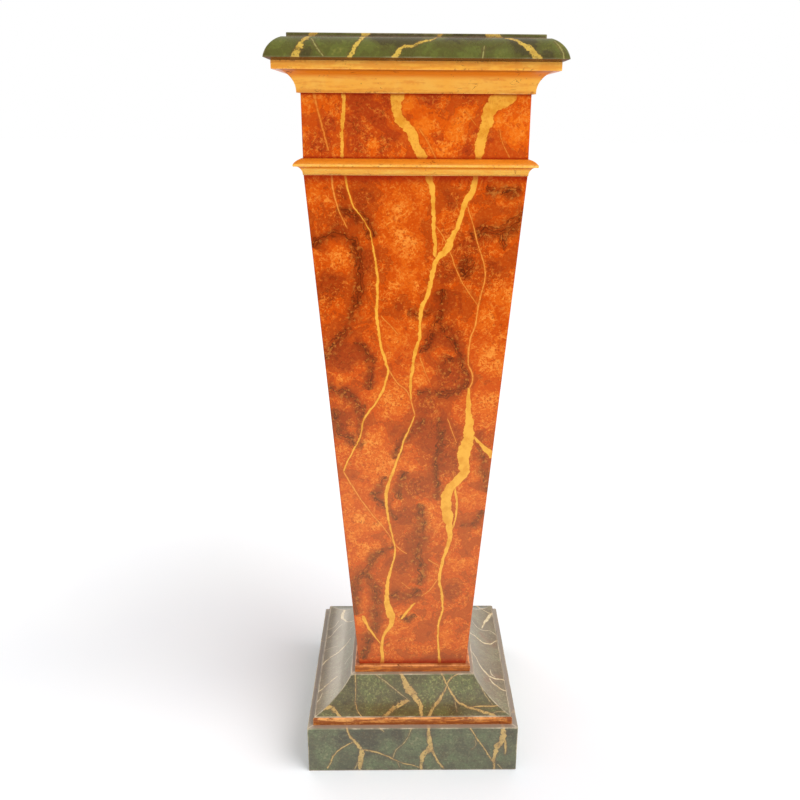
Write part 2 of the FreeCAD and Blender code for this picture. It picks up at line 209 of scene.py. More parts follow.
def stroke_field(spots: Array, strokes: Sequence[Stroke], broad: float) -> Array:
    """How each spot lies to the nearest stroke of a layer.

    Args:
        spots: (across, up) of each vertex on the plan, in millimetres.
        strokes: the layer's strokes.
        broad: what their half widths are multiplied by.

    Returns:
        Offset, half width and distance for each spot, in metres.
    """
    closest = np.full(len(spots), FAR_AWAY)
    field_values = np.tile([FAR_AWAY, -FAR_AWAY, FAR_AWAY], (len(spots), 1))
    for stroke in strokes:
        gap, reading = stroke.read(spots)
        closer = gap < closest
        closest[closer] = gap[closer]
        field_values[closer] = reading[closer]
    field_values[:, 1] *= broad
    return field_values * MM


def patch_field(spots: Array, patches: Iterable[tuple]) -> Array:
    """Strength of round patches: a bell curve of the distance to each middle, the strongest kept.

    Args:
        spots: (across, up) of each vertex on the plan, in millimetres.
        patches: (across, up, radius) of each patch.

    Returns:
        A value from 0 to 1 for each spot.
    """
    strength = np.zeros(len(spots))
    for across, up, radius in patches:
        distance = np.hypot(spots[:, 0] - across, spots[:, 1] - up)
        strength = np.maximum(strength, np.exp(-((distance / radius) ** 2)))
    return strength


def line(*points: tuple[float, float], wide: tuple[float, ...]) -> Stroke:
    """A stroke through the points, with half widths spread along it."""
    return Stroke(points, wide)


FRIEZE_PLAN = FacePlan(
    bold=(
        line((-22, 1005), (-25, 981), (-16, 970), (-4, 961), (-3, 948), (9, 928),
             wide=(8, 6, 5.5, 5.5, 5, 5.5)),
        line((116, 1005), (97, 995), (87, 980), (86, 963), (79, 946), (78, 928),
             wide=(11, 9, 8.5, 6, 7, 4)),
    ),
    fork=(line((-88, 1005), (-88, 982), (-92, 962), (-91, 930), wide=(1.8, 2.2, 1.7, 2.3)),),
    hair=(
        line((-124, 1005), (-119, 982), (-114, 962), (-108, 938), wide=(1.5, 1.2, 0.8)),
        line((4, 964), (16, 946), (25, 928), wide=(0.6, 0.8)),
        line((102, 963), (107, 947), (116, 930), wide=(0.5, 0.8)),
        line((60, 985), (74, 968), wide=(0.5, 0.4)),
    ),
    glow=(
        (-54, 944, 6), (122, 955, 14), (8, 968, 13), (46, 958, 13), (58, 978, 8), (-10, 992, 10),
        (100, 972, 8), (34, 940, 10),
    ),
    shade=(
        (-70, 992, 15), (-76, 968, 15), (-70, 942, 13), (-48, 980, 16), (-36, 950, 14),
        (-34, 996, 10), (64, 940, 10), (-118, 946, 17), (-108, 968, 12), (-60, 954, 11),
        (28, 952, 8), (82, 956, 13), (93, 996, 8), (18, 1000, 12), (62, 1002, 8), (-42, 938, 9),
    ),
)

SHAFT_PLAN = FacePlan(
    bold=(
        line((75, 912), (72, 893), (61, 875), (57, 853), (46, 832), (42, 816), (26, 805),
             (22, 780), (18, 759), (10, 743), (7, 721), (6, 694), (0, 675), (-3, 651),
             (-6, 629), (-4, 606),
             wide=(3.6, 4, 3, 2.6, 5, 3.2, 2.6, 3.6, 2, 1.8, 2.2, 2.2, 2, 1)),
        line((1, 582), (-14, 543), (-27, 502), (-40, 462), (-41, 443), (-39, 429), (-35, 398),
             (-28, 372), (-27, 354), (-35, 319), (-41, 286), (-41, 262), (-34, 241), (-32, 221),
             (-44, 204), (-50, 181), (-49, 142),
             wide=(0.8, 1.1, 1.3, 2.4, 2.2, 1.6, 1.2, 1.3, 2.2, 3, 6.5, 2, 2, 3)),
        line((75, 623), (76, 590), (78, 561), (76, 539), (71, 523), (71, 504), (77, 492),
             (59, 475), (45, 454), (50, 425), (55, 392), (54, 374), (42, 328), (39, 305),
             (45, 276), (48, 252), (38, 211), (44, 142),
             wide=(1.4, 4.6, 7.5, 9.5, 5, 7, 8.5, 3.2, 2.4, 2, 1.8, 1.6, 1.5, 1.5, 1.8)),
    ),
    fork=(
        line((-89, 911), (-81, 872), (-62, 852), (-55, 826), (-50, 790), (-49, 769), (-51, 732),
             (-49, 697), (-38, 657), (-35, 648), (-38, 640), (-47, 611), (-71, 577), (-75, 559),
             (-79, 539), (-87, 529), (-102, 494),
             wide=(1.5, 0.8, 0.5, 1.3, 2.1, 2, 1.6, 1.5, 1.8, 1.2, 1, 1)),
        line((16, 912), (23, 883), (23, 853), (25, 822), (25, 808), wide=(5, 2.4, 3, 2.4, 2)),
        line((60, 468), (65, 427), (58, 392), (54, 380), wide=(1.6, 1.5, 0.8)),
        line((79, 556), (94, 539), (112, 518), wide=(1.2, 2, 5)),
        line((-78, 236), (-68, 209), (-51, 182), wide=(2.4, 1.8, 0.8)),
        line((4, 262), (-10, 245), (-18, 231), wide=(1, 2.4, 1.6)),
    ),
    hair=(
        line((-105, 911), (-103, 886), (-95, 860), (-87, 844), wide=(1.2, 0.9, 0.7)),
        line((65, 875), (73, 853), (78, 831), (90, 799), (93, 780), (84, 744), (82, 715),
             (74, 694), (72, 659), (79, 648), (81, 633), (75, 622), wide=(0.7, 0.8, 1, 1.1, 1)),
        line((-102, 493), (-86, 462), (-68, 430), (-43, 398), (-26, 365), (-10, 352),
             wide=(0.9, 0.7, 0.6)),
        line((39, 308), (27, 286), (13, 274), wide=(0.9, 0.5)),
        line((7, 670), (21, 631), wide=(0.6, 0.4)),
    ),
    cross=(
        line((27, 847), (41, 826), (58, 778), (84, 742), wide=(0.6, 0.6)),
        line((-35, 650), (-23, 629), (-12, 623), (-5, 608), (1, 582), wide=(1, 0.8, 0.9)),
        line((-45, 728), (-22, 701), wide=(0.6, 0.4)),
        line((47, 577), (61, 539), wide=(0.7, 0.5)),
        line((23, 342), (39, 330), wide=(0.7, 0.5)),
        line((-18, 300), (-4, 288), wide=(0.5, 0.4)),
    ),
    smoke=(
        line((-130, 821), (-118, 836), (-91, 840), (-75, 815), (-71, 790), (-74, 758), (-93, 706),
             wide=(4, 3.5, 4)),
        line((-98, 870), (-78, 862), (-62, 856), (-57, 832), wide=(3, 3.5)),
        line((74, 833), (92, 845), (123, 839), (138, 871), wide=(3.5, 6, 4)),
        line((112, 838), (117, 818), wide=(4, 2)),
        line((71, 806), (57, 795), (66, 778), (75, 797), (71, 806), wide=(2.5, 3)),
        line((-9, 732), (14, 728), (25, 741), wide=(3, 2.5)),
        line((35, 763), (37, 737), (25, 701), (19, 685), (7, 677), wide=(2.5, 4, 2.5)),
        line((90, 895), (112, 890), (132, 893), wide=(3, 4)),
        line((-87, 713), (-107, 690), (-120, 670), wide=(4, 5)),
        line((-81, 690), (-66, 681), (-60, 660), (-59, 642), (-63, 623), wide=(3, 3.5)),
        line((-118, 625), (-95, 615), (-76, 598), (-74, 571), (-77, 539), wide=(4, 3)),
        line((-112, 590), (-108, 555), (-93, 551), (-88, 537), (-75, 537), wide=(5, 3)),
        line((32, 717), (57, 688), (66, 661), (74, 631), (59, 617), (32, 617), (6, 617),
             wide=(2.5, 3, 3.5, 3.5)),
        line((49, 668), (35, 653), (47, 646), wide=(4, 3)),
        line((15, 575), (1, 561), (-21, 541), (-28, 514), wide=(3.5, 2.5)),
        line((-40, 483), (-47, 469), (-58, 452), (-45, 441), wide=(3, 3.5)),
        line((-14, 492), (-23, 466), (-21, 449), wide=(3, 3)),
        line((35, 579), (39, 551), (32, 510), (35, 447), wide=(2.5, 3)),
        line((86, 547), (98, 531), (102, 500), (108, 462), wide=(2.5, 4.5)),
        line((8, 438), (16, 396), (9, 365), (5, 347), (13, 328), (15, 312), (8, 296),
             wide=(3, 3.5, 6, 5, 3)),
        line((-29, 363), (-51, 358), (-70, 324), (-90, 298), (-91, 265), (-88, 241),
             wide=(2.5, 3.5, 5, 4)),
        line((-69, 312), (-55, 284), (-56, 221), (-73, 186), (-79, 153), wide=(4, 5.5, 4)),
        line((-36, 279), (-10, 272), (10, 284), wide=(5, 5)),
        line((71, 403), (94, 405), (101, 427), wide=(2.5, 3)),
        line((-61, 459), (-52, 449), (-40, 436), (-25, 414), wide=(2.5, 2.5)),
        line((-18, 236), (-8, 226), (2, 240), wide=(2.5, 2)),
    ),
    glow=(
        (-18, 872, 26), (-15, 822, 28), (-12, 782, 24), (-126, 890, 12), (8, 893, 16),
        (-98, 806, 17), (120, 748, 26), (122, 846, 16), (105, 665, 28), (104, 600, 24),
        (-24, 698, 24), (-24, 600, 22), (-48, 512, 26), (-62, 540, 18), (94, 492, 16),
        (-92, 452, 22), (-80, 408, 26), (-13, 229, 18), (80, 446, 20), (50, 198, 14),
        (64, 328, 18), (-70, 355, 20), (8, 636, 16), (-100, 745, 12), (112, 886, 16),
        (-46, 618, 20), (-100, 636, 12), (-8, 505, 16), (26, 436, 16), (-58, 404, 16),
        (22, 405, 16), (-70, 262, 14), (-34, 208, 14), (-74, 222, 12), (98, 726, 12),
    ),
    shade=(
        (-110, 764, 26), (46, 880, 12), (66, 818, 24), (96, 786, 20), (34, 551, 34),
        (48, 510, 34), (4, 468, 24), (-10, 420, 18), (-2, 375, 20), (-101, 670, 24),
        (-104, 572, 22), (-19, 333, 18), (-60, 800, 20), (-96, 856, 18), (-92, 888, 12),
        (18, 600, 20), (50, 640, 24), (-66, 880, 18), (40, 790, 20), (42, 750, 20),
        (48, 702, 18), (-20, 742, 10), (66, 536, 18), (60, 284, 18), (92, 548, 12),
        # These four patches along the foot, at up 143 to 150, are painted shade above the foot bead.
        (-40, 143, 10), (20, 143, 12), (44, 150, 14), (72, 150, 14),
    ),
)

SLAB_EDGE_PLAN = FacePlan(
    bold=(
        line((-143, 1036), (-135, 1054), (-133, 1062), (-119, 1085), wide=(5, 3.2, 2.2, 4)),
        line((-80, 1038), (-71, 1056), (-64, 1070), (-59, 1086), wide=(3.2, 2, 2.2, 6)),
        line((-29, 1036), (-23, 1048), (-17, 1055), (-5, 1055), (5, 1065), (22, 1068), (28, 1086),
             wide=(5, 2.8, 2, 2, 1.6, 1.2, 2.4)),
        line((84, 1086), (112, 1071), (120, 1061), (131, 1054), (137, 1047), (143, 1036),
             wide=(7, 1.4, 1.8, 2.6, 3.6, 4)),
    ),
    hair=(
        line((-122, 1068), (-116, 1053), (-108, 1043), wide=(0.9, 0.6)),
        line((78, 1057), (75, 1041), wide=(0.9, 1.2)),
        line((160, 1066), (168, 1052), (170, 1042), wide=(0.8, 0.8)),
    ),
    glow=((60, 1050, 16), (-60, 1055, 15), (18, 1048, 14), (100, 1048, 10), (-90, 1050, 12),
              (165, 1060, 10), (-158, 1060, 12)),
    shade=((-128, 1045, 12), (125, 1066, 14), (-10, 1070, 14), (60, 1072, 18), (-40, 1072, 16),
               (150, 1045, 8)),
)

SLAB_TOP_PLAN = FacePlan(
    bold=(
        line((-119, -153), (-100, -112), (-60, -72), (-42, -10), (8, 38), (28, 108), (64, 153),
             wide=(3, 2, 4.5, 2, 6, 2, 3.5)),
        line((84, -153), (70, -110), (92, -52), (60, 6), (20, 40), wide=(6, 2.4, 3.4, 2.6, 2)),
        line((-104, 153), (-84, 92), (-122, 42), (-153, 58), wide=(3, 4.5, 2, 1.4)),
    ),
    fork=(
        line((-59, -153), (-72, -122), (-110, -62), (-138, -22), (-153, 12),
             wide=(5, 2, 3.4, 1.4, 2)),
        line((153, -82), (112, -42), (88, -48), wide=(2.4, 1.6, 1)),
        line((153, 60), (102, 82), (32, 112), wide=(2.4, 1.8, 1)),
    ),
    hair=(
        line((28, -153), (20, -130), (-14, -96), (-58, -74), wide=(1.6, 0.9, 0.8)),
        line((-42, -10), (-84, 22), (-84, 90), wide=(0.9, 0.8, 0.7)),
        line((60, 6), (110, 24), (153, 14), wide=(0.9, 0.7, 1)),
        line((28, 108), (-10, 128), (-24, 153), wide=(0.9, 0.8, 1.2)),
    ),
    glow=((-90, -90, 36), (30, -60, 40), (100, 110, 38), (-40, 90, 42), (120, -110, 26),
              (-120, 100, 24)),
    shade=((0, -110, 36), (-110, 0, 36), (60, 60, 34), (-60, 40, 26), (120, 20, 30)),
)

CAVETTO_PLAN = FacePlan(
    bold=(
        line((-21, 168), (-7, 140), (7, 124), (14, 111), (13, 90), wide=(1.2, 6.5, 6, 3, 1.5)),
        line((45, 168), (65, 123), (87, 110), (128, 97), (131, 90), wide=(1.1, 1.6, 1.6, 2.4, 3)),
        line((-154, 106), (-127, 114), (-121, 103), (-108, 90), wide=(0.9, 3.6, 2.2, 1.4)),
    ),
    fork=(
        line((78, 166), (57, 152), (46, 126), (35, 115), (23, 90), wide=(0.8, 1.1, 1.2, 3.4, 2.4)),
        line((-7, 121), (-25, 115), (-49, 90), wide=(2.4, 4, 3)),
        line((90, 110), (104, 112), (154, 114), wide=(1, 1.2, 0.8)),
        line((-92, 168), (-91, 133), (-89, 111), (-77, 90), wide=(0.7, 0.7, 0.9)),
    ),
    hair=(
        line((-60, 163), (-39, 148), (-20, 133), (-4, 121), wide=(1.2, 0.9, 0.7)),
        line((104, 160), (114, 132), (127, 114), wide=(0.8, 0.7)),
        line((124, 99), (133, 104), (156, 101), wide=(0.9, 1.1)),
        line((67, 121), (69, 102), wide=(0.7, 0.5)),
        line((-135, 120), (-126, 150), wide=(0.5, 0.4)),
    ),
    glow=((-48, 142, 18), (20, 148, 16), (85, 152, 16), (-70, 130, 14), (48, 102, 14)),
    shade=((-105, 120, 18), (-24, 115, 12), (70, 112, 14), (-100, 155, 14), (10, 160, 12)),
)

CAVETTO_LEFT_PLAN = FacePlan(
    bold=(
        line((134, 126), (112, 122), (94, 118), (70, 125), (54, 135), (42, 150),
             wide=(4, 5, 4, 2.5, 1.2, 0.9)),
    ),
    fork=(
        line((-64, 88), (-53, 93), (-41, 104), (-38, 114), (-27, 127), (-15, 143),
             wide=(1.4, 1.2, 1.6, 2.6, 2, 0.8)),
        line((-118, 90), (-111, 99), (-98, 110), (-92, 122), wide=(1, 0.8, 0.9)),
    ),
    hair=(
        line((45, 88), (57, 104), (79, 111), wide=(0.9, 0.8)),
        line((-73, 135), (-66, 143), (-62, 157), wide=(0.9, 1.1)),
        line((-138, 90), (-126, 97), (-119, 98), wide=(0.9, 0.8)),
        line((-154, 106), (-146, 104), wide=(0.8, 0.6)),
    ),
    cross=(
        line((15, 88), (18, 95), (40, 105), (53, 113), (59, 120), wide=(1.1, 1.2, 0.9)),
        line((-25, 87), (-16, 101), (-16, 112), wide=(0.6, 0.7)),
        line((18, 136), (26, 148), wide=(0.9, 0.9)),
    ),
    glow=((-20, 120, 20), (-110, 130, 22), (90, 150, 20)),
    shade=((30, 100, 20), (-80, 105, 20), (110, 100, 18)),
)

CAVETTO_RIGHT_PLAN = FacePlan(
    bold=(
        line((-118, 96), (-97, 109), (-65, 122), (-46, 129), wide=(2.5, 3.5, 2.2, 1.2)),
        line((57, 171), (59, 156), (74, 147), (85, 133), (90, 125), (92, 105), (96, 101),
             wide=(1, 1.2, 1.4, 1.4, 1.8, 1.2)),
    ),
    fork=(
        line((-132, 116), (-123, 109), (-112, 97), wide=(1, 1.3)),
        line((4, 166), (-4, 153), (2, 141), (6, 131), (2, 116), (-7, 108), (-10, 102),
             wide=(1.4, 1.2, 1.6, 2.4, 1.6, 1.2)),
        line((92, 128), (103, 119), (112, 107), (115, 99), wide=(1, 1.2)),
        line((154, 114), (140, 112), wide=(0.8, 0.6)),
    ),
    hair=(
        line((-54, 151), (-39, 141), (-38, 126), (-47, 112), (-27, 102), wide=(1, 0.9)),
        line((72, 126), (84, 124), (87, 117), wide=(0.8, 0.9)),
    ),
    smoke=(
        line((98, 138), (90, 124), (88, 106), wide=(2, 3)),
        line((-26, 136), (-4, 124), (2, 108), wide=(2, 3)),
    ),
    glow=((40, 112, 14), (-90, 140, 18)),
    shade=((94, 118, 20), (-20, 118, 20), (-80, 104, 18)),
)

PLINTH_PLAN = FacePlan(
    bold=(
        line((-103, 90), (-98, 67), (-89, 55), (-78, 41), (-83, 21), (-84, -3),
             wide=(1, 1.4, 2.4, 4.4, 4.4, 2)),
        line((23, 92), (27, 57), (28, 43), (14, 29), (13, -2), wide=(1.8, 3.6, 4.4, 3, 1.4)),
        line((140, 92), (142, 62), (131, 45), (128, 16), (130, -2), wide=(2, 5, 4.4, 1.6, 2.4)),
    ),
    fork=(
        line((-93, 57), (-110, 47), (-122, 36), (-134, 5), wide=(0.8, 0.9, 1.1, 0.9)),
        line((-76, 42), (-50, 35), (-27, 20), (-6, 12), (12, 6), wide=(1.6, 1, 1, 0.9, 0.8)),
        line((28, 45), (37, 23), (49, 4), wide=(2.6, 1.5, 1)),
        line((144, 60), (146, 30), wide=(2.4, 0.8)),
        line((89, 82), (101, 60), (113, 40), (128, 18), wide=(0.8, 1.1, 0.9)),
    ),
    hair=(
        line((-2, 82), (-11, 55), (-27, 43), (-32, 22), wide=(0.9, 0.8, 0.7)),
        line((-83, 25), (-92, 3), wide=(1.6, 1.1)),
        line((-52, 86), (-44, 76), wide=(1.4, 0.6)),
        line((-24, 18), (-20, 6), wide=(0.6, 0.5)),
        line((134, 12), (142, 2), wide=(0.9, 0.9)),
        line((90, 40), (100, 48), (97, 60), wide=(0.4, 0.5)),
    ),
    glow=((60, 60, 22), (-40, 52, 18), (-145, 30, 16), (-60, 12, 14), (80, 15, 18),
              (5, 62, 14), (110, 68, 12)),
    shade=((-70, 72, 20), (-115, 60, 14), (48, 30, 14), (-20, 66, 14), (150, 70, 12)),
)


# --- Sections and meshes ---

ARC_STRETCHES = 6
EASE_STEPS = 4
ARRIS_RADIUS = 1.3
CORNER_STEPS = 4
CAP_RADIUS = 2.0
CAP_ROUNDING = 0.3
SHARP_ANGLE = 34.0
# Sines of the least turns that make a corner of a section an arris or a nook.
ARRIS_TURN = 0.3
NOOK_TURN = 0.22
# The most of a stretch that one corner's ease takes.
EASE_SHARE = 0.45
SAME_SPOT = 1e-4
TINY = 1e-6


def bow(start: tuple[float, float], end: tuple[float, float], bulge: float, step: float) -> Array:
    """An arc of a circle between two points.

    Radius = chord squared / 8 bulges + half the bulge; each point stands off the chord by the
    circle's height there, to the left of the way if the bulge is positive.

    Args:
        start: where it starts, (offset, height).
        end: where it ends.
        bulge: how far its middle stands off the chord.
        step: about how far apart the points are.

    Returns:
        The points between start and end, without those two.
    """
    first, last = np.array(start, float), np.array(end, float)
    chord = last - first
    length = np.hypot(*chord)
    deep = abs(bulge)
    radius = length**2 / (8 * deep) + deep / 2
    left = np.array([-chord[1], chord[0]]) / length * np.sign(bulge)
    count = max(ARC_STRETCHES, int(length / step))
    share = np.linspace(0, 1, count + 1)[1:-1, None]
    half = (share - 0.5) * length
    return first + share * chord + (np.sqrt(radius**2 - half**2) - (radius - deep)) * left


@dataclass
class Section:
    """A moulding's cross-section, drawn as (offset from the column's axis, height) in mm.

    shown runs from its foot to its head on the painted side, and hidden closes it behind, from
    head to foot. ease is how far each corner of shown is rubbed round, step is the spacing that
    the painted face is divided at, and meets are points where a neighbour lies against it.
    """

    shown: Array
    ease: Array
    hidden: Array
    step: float
    meets: Array

    @staticmethod
    def draw(
        parts: Iterable[tuple], hidden: Iterable[tuple], step: float = 3.0, meets: Iterable[tuple] = ()
    ) -> "Section":
        """Draw a section from its corners.

        Args:
            parts: (offset, height, ease) for a corner, or (offset, height, ease, bulge) for a
                corner that an arc arrives at.
            hidden: (offset, height) of the corners behind.
            step: spacing of the face's divisions.
            meets: (offset, height) of the points where a neighbour lies against the face.

        Returns:
            The section.
        """
        points: list[Array] = []
        eases: list[float] = []
        for part in parts:
            if len(part) > 3:
                arc = bow(tuple(points[-1]), part[:2], part[3], step)
                points.extend(arc)
                eases.extend([0.0] * len(arc))
            points.append(np.array(part[:2], float))
            eases.append(part[2])
        behind = np.array(list(hidden), float).reshape(-1, 2)
        touched = np.array(list(meets), float).reshape(-1, 2)
        return Section(np.array(points), np.array(eases), behind, step, touched)

    def corners(self) -> tuple[Array, Array]:
        """The arrises and the nooks of the painted side.

        A corner that turns left on the way up stands out, and one that turns right lies in.

        Returns:
            The points of the arrises, and those of the nooks with the line's two ends and the
            points where a neighbour lies against it.
        """
        way = np.diff(self.shown, axis=0)
        way = way / np.hypot(way[:, 0], way[:, 1])[:, None]
        turn = way[:-1, 0] * way[1:, 1] - way[:-1, 1] * way[1:, 0]
        inner = self.shown[1:-1]
        ends = self.shown[[0, -1]]
        return inner[turn > ARRIS_TURN], np.concatenate([inner[turn < -NOOK_TURN], ends, self.meets])

    def face(self) -> Array:
        """The painted line with eased corners, divided at the step.

        Each corner becomes a quadratic curve from a point on the edge before it to one on the
        edge after it, with the corner as its control point.

        Returns:
            (offset, height) of its points, from foot to head.
        """
        before = np.vstack([self.shown[:1], self.shown[:-1]])
        after = np.vstack([self.shown[1:], self.shown[-1:]])
        share = np.linspace(0, 1, EASE_STEPS)[None, :, None]
        start = self.shown + self.toward(before)
        end = self.shown + self.toward(after)
        curve = (
            (1 - share) ** 2 * start[:, None, :]
            + 2 * share * (1 - share) * self.shown[:, None, :]
            + share**2 * end[:, None, :]
        ).reshape(-1, 2)
        keep = np.concatenate([[True], np.hypot(*np.diff(curve, axis=0).T) > SAME_SPOT])
        return divided(curve[keep], self.step)

    def toward(self, other: Array) -> Array:
        """From each corner toward its neighbour, by the corner's ease."""
        way = other - self.shown
        length = np.maximum(np.hypot(way[:, 0], way[:, 1]), TINY)
        return way / length[:, None] * np.minimum(self.ease, length * EASE_SHARE)[:, None]


def divided(points: Array, step: float) -> Array:
    """A line with its long stretches divided evenly.

    Args:
        points: the line's points.
        step: the longest stretch that stays whole.

    Returns:
        The same line with the new points put in.
    """
    lengths = np.hypot(*np.diff(points, axis=0).T)
    reach = np.concatenate([[0.0], np.cumsum(lengths)])
    counts = np.maximum(1, np.ceil(lengths / step)).astype(int)
    index = np.repeat(np.arange(len(counts)), counts)
    within = np.arange(counts.sum()) - np.repeat(np.cumsum(counts) - counts, counts)
    spots = np.append(reach[index] + within * lengths[index] / counts[index], reach[-1])
    return np.column_stack([np.interp(spots, reach, points[:, axis]) for axis in (0, 1)])


@dataclass
class Shell:
    """A mesh's arrays on their way into Blender."""

    points: Array
    quads: Array
    caps: list[Array]
    bare_quads: Array
    fields: Fields = field(default_factory=dict)

    def mesh(self, name: str) -> bpy.types.Mesh:
        """Write the arrays into a new mesh.

        Args:
            name: the mesh's name.

        Returns:
            The mesh, smooth but for its arrises, with the painter's fields as attributes.
        """
        mesh = bpy.data.meshes.new(name)
        corners = np.concatenate([self.quads.ravel(), *self.caps]).astype(np.int32)
        sizes = np.concatenate([np.full(len(self.quads), 4), [len(cap) for cap in self.caps]])
        starts = np.concatenate([[0], np.cumsum(sizes)[:-1]]).astype(np.int32)
        mesh.vertices.add(len(self.points))
        mesh.vertices.foreach_set("co", (self.points * MM).astype(np.float32).ravel())
        mesh.loops.add(len(corners))
        mesh.loops.foreach_set("vertex_index", corners)
        mesh.polygons.add(len(sizes))
        mesh.polygons.foreach_set("loop_start", starts)
        bare = np.concatenate([self.bare_quads, np.ones(len(self.caps), bool)])
        mesh.polygons.foreach_set("material_index", bare.astype(np.int32))
        mesh.update(calc_edges=True)
        mesh.validate()
        mesh.polygons.foreach_set("use_smooth", np.ones(len(sizes), bool))
        mesh.set_sharp_from_angle(angle=math.radians(SHARP_ANGLE))
        for key, values in self.fields.items():
            kind, slot = ("FLOAT_VECTOR", "vector") if values.ndim > 1 else ("FLOAT", "value")
            layer = mesh.attributes.new(key, kind, "POINT")
            layer.data.foreach_set(slot, values.astype(np.float32).ravel())
        return mesh


def grid_quads(rows: int, columns: int, round_rows: bool, round_columns: bool) -> Array:
    """The faces of a grid of points, facing outwards for rows that climb and columns that go +X.

    Args:
        rows: how many points up.
        columns: how many across.
        round_rows: whether the last row joins the first.
        round_columns: whether the last column joins the first.

    Returns:
        Four point numbers for each face.
    """
    up = np.arange(rows if round_rows else rows - 1)
    across = np.arange(columns if round_columns else columns - 1)
    row, column = (a.ravel() for a in np.meshgrid(up, across, indexing="ij"))
    above = (row + 1) % rows
    beside = (column + 1) % columns
    corners = (row, column), (row, beside), (above, beside), (above, column)
    return np.column_stack([r * columns + c for r, c in corners])


def path(half: Array, divisions: int, radius: Array) -> tuple[Array, Array]:
    """One side of a square ring with rounded corners, from diagonal to diagonal.

    Along the straight, across goes evenly from -(half - radius) to +(half - radius) at depth
    half. Round a corner, across grows by radius times the sine of the turn and depth falls to
    half - radius + radius times its cosine, up to half a right angle.

    Args:
        half: half the ring's width, for each row.
        divisions: how many cells the straight is divided into.
        radius: the corner's radius, for each row.

    Returns:
        Across and depth, a row for each half width and a column for each step of the path.
    """
    turn = np.linspace(0, math.pi / 4, CORNER_STEPS + 1)[1:]
    turns = np.concatenate([-turn[::-1], np.zeros(divisions + 1), turn])
    shares = np.concatenate(
        [-np.ones(CORNER_STEPS), np.linspace(-1, 1, divisions + 1), np.ones(CORNER_STEPS)]
    )
    straight = (half - radius)[:, None]
    across = shares * straight + radius[:, None] * np.sin(turns)
    depth = straight + radius[:, None] * np.cos(turns)
    return across, depth


def turned(across: Array, depth: Array, up: Array, side: Side) -> Array:
    """Points of the front, at y = -depth, turned about Z to a side."""
    angle = math.radians(side.value)
    x = across * math.cos(angle) + depth * math.sin(angle)
    y = across * math.sin(angle) - depth * math.cos(angle)
    return np.column_stack([x.ravel(), y.ravel(), up.ravel()])


def nearest(points: Array, marks: Array) -> Array:
    """Distance from each point to the nearest of the marks."""
    apart = points[:, None, :] - marks[None, :, :]
    return np.hypot(apart[..., 0], apart[..., 1]).min(axis=1)


def painted_fields(across: Array, up: Array, half: Array, plan: FacePlan, side: Side) -> Fields:
    """The painter's strokes as values at each vertex of a face.

    Another side reads the front's plan at mirror x (across + lean x half x swell) and
    up + lift x height x swell, where swell is 1 in the face's middle and 0 at its corners.

    Args:
        across: across the face, from its middle line.
        up: up the face, along its painted line.
        half: half the face's width there.
        plan: the strokes.
        side: which side of the column it is.

    Returns:
        An array of values for each vertex, under each field's name.
    """
    variation = VARIATIONS[side]
    swell = 1 - np.clip(across / half, -1, 1) ** 2
    height = up.max() - up.min()
    aside = variation.mirror * (across + variation.lean * half * swell)
    spots = np.column_stack([aside, up + variation.lift * height * swell])
    return plan_fields(spots, plan, variation.broad)


def plan_fields(spots: Array, plan: FacePlan, broad: float = 1.0) -> Fields:
    """A plan's layers read at spots on it."""
    fields = {layer: stroke_field(spots, getattr(plan, layer), broad) for layer in VEIN_LAYERS}
    fields["smoke"] = stroke_field(spots, plan.smoke, 1.0)
    fields["glow"] = patch_field(spots, plan.glow)
    fields["shade"] = patch_field(spots, plan.shade)
    return fields


def mitred_length(section: Section, side: Side, plan: FacePlan | None, cell: float) -> Shell:
    """One length of moulding: its section carried along a side and cut on the diagonals.

    Args:
        section: its cross-section.
        side: the side of the column that it is on.
        plan: the strokes on its painted face, if it has any.
        cell: about how wide the grid's cells are.

    Returns:
        The closed shell, its two mitred ends as single faces.
    """
    face = section.face()
    outline = np.concatenate([face, section.hidden])
    half, level = outline.T
    divisions = int(2 * face[:, 0].max() / cell)
    across, depth = path(half, divisions, np.full(len(half), ARRIS_RADIUS))
    rows, columns = across.shape
    points = turned(across, depth, np.repeat(level[:, None], columns, axis=1), side)
    grid = np.arange(rows * columns).reshape(rows, columns)
    quads = grid_quads(rows, columns, round_rows=True, round_columns=False)
    bare = quads[:, 0] // columns >= len(face) - 1
    shell = Shell(points, quads, [grid[:, 0], grid[::-1, -1]], bare)

    arrises, nooks = section.corners()
    step = np.hypot(*np.diff(outline, axis=0).T)
    climb = outline[0, 1] + np.concatenate([[0.0], np.cumsum(step)])
    climb[len(face):] = climb[len(face) - 1]
    edge = nearest(outline, arrises)[:, None] if len(arrises) else np.full((rows, 1), FAR_AWAY)
    edge = np.minimum(edge, np.maximum(half[:, None] - np.abs(across), 0))
    nook = np.repeat(nearest(outline, nooks)[:, None], columns, axis=1)
    shell.fields["edge"] = edge.ravel() * MM
    shell.fields["nook"] = nook.ravel() * MM
    if plan is not None:
        up = np.repeat(climb[:, None], columns, axis=1).ravel()
        width = np.repeat(half[:, None], columns, axis=1).ravel()
        shell.fields.update(painted_fields(across.ravel(), up, width, plan, side))
    return shell


# --- Shader nodes ---


def paint(red: int, green: int, blue: int) -> tuple[float, float, float, float]:
    """A colour as it is seen, 0 to 255, as the linear value that the shader takes."""
    seen = np.array([red, green, blue]) / 255
    linear = np.where(seen <= 0.04045, seen / 12.92, ((seen + 0.055) / 1.055) ** 2.4)
    return (*(float(part) for part in linear), 1.0)


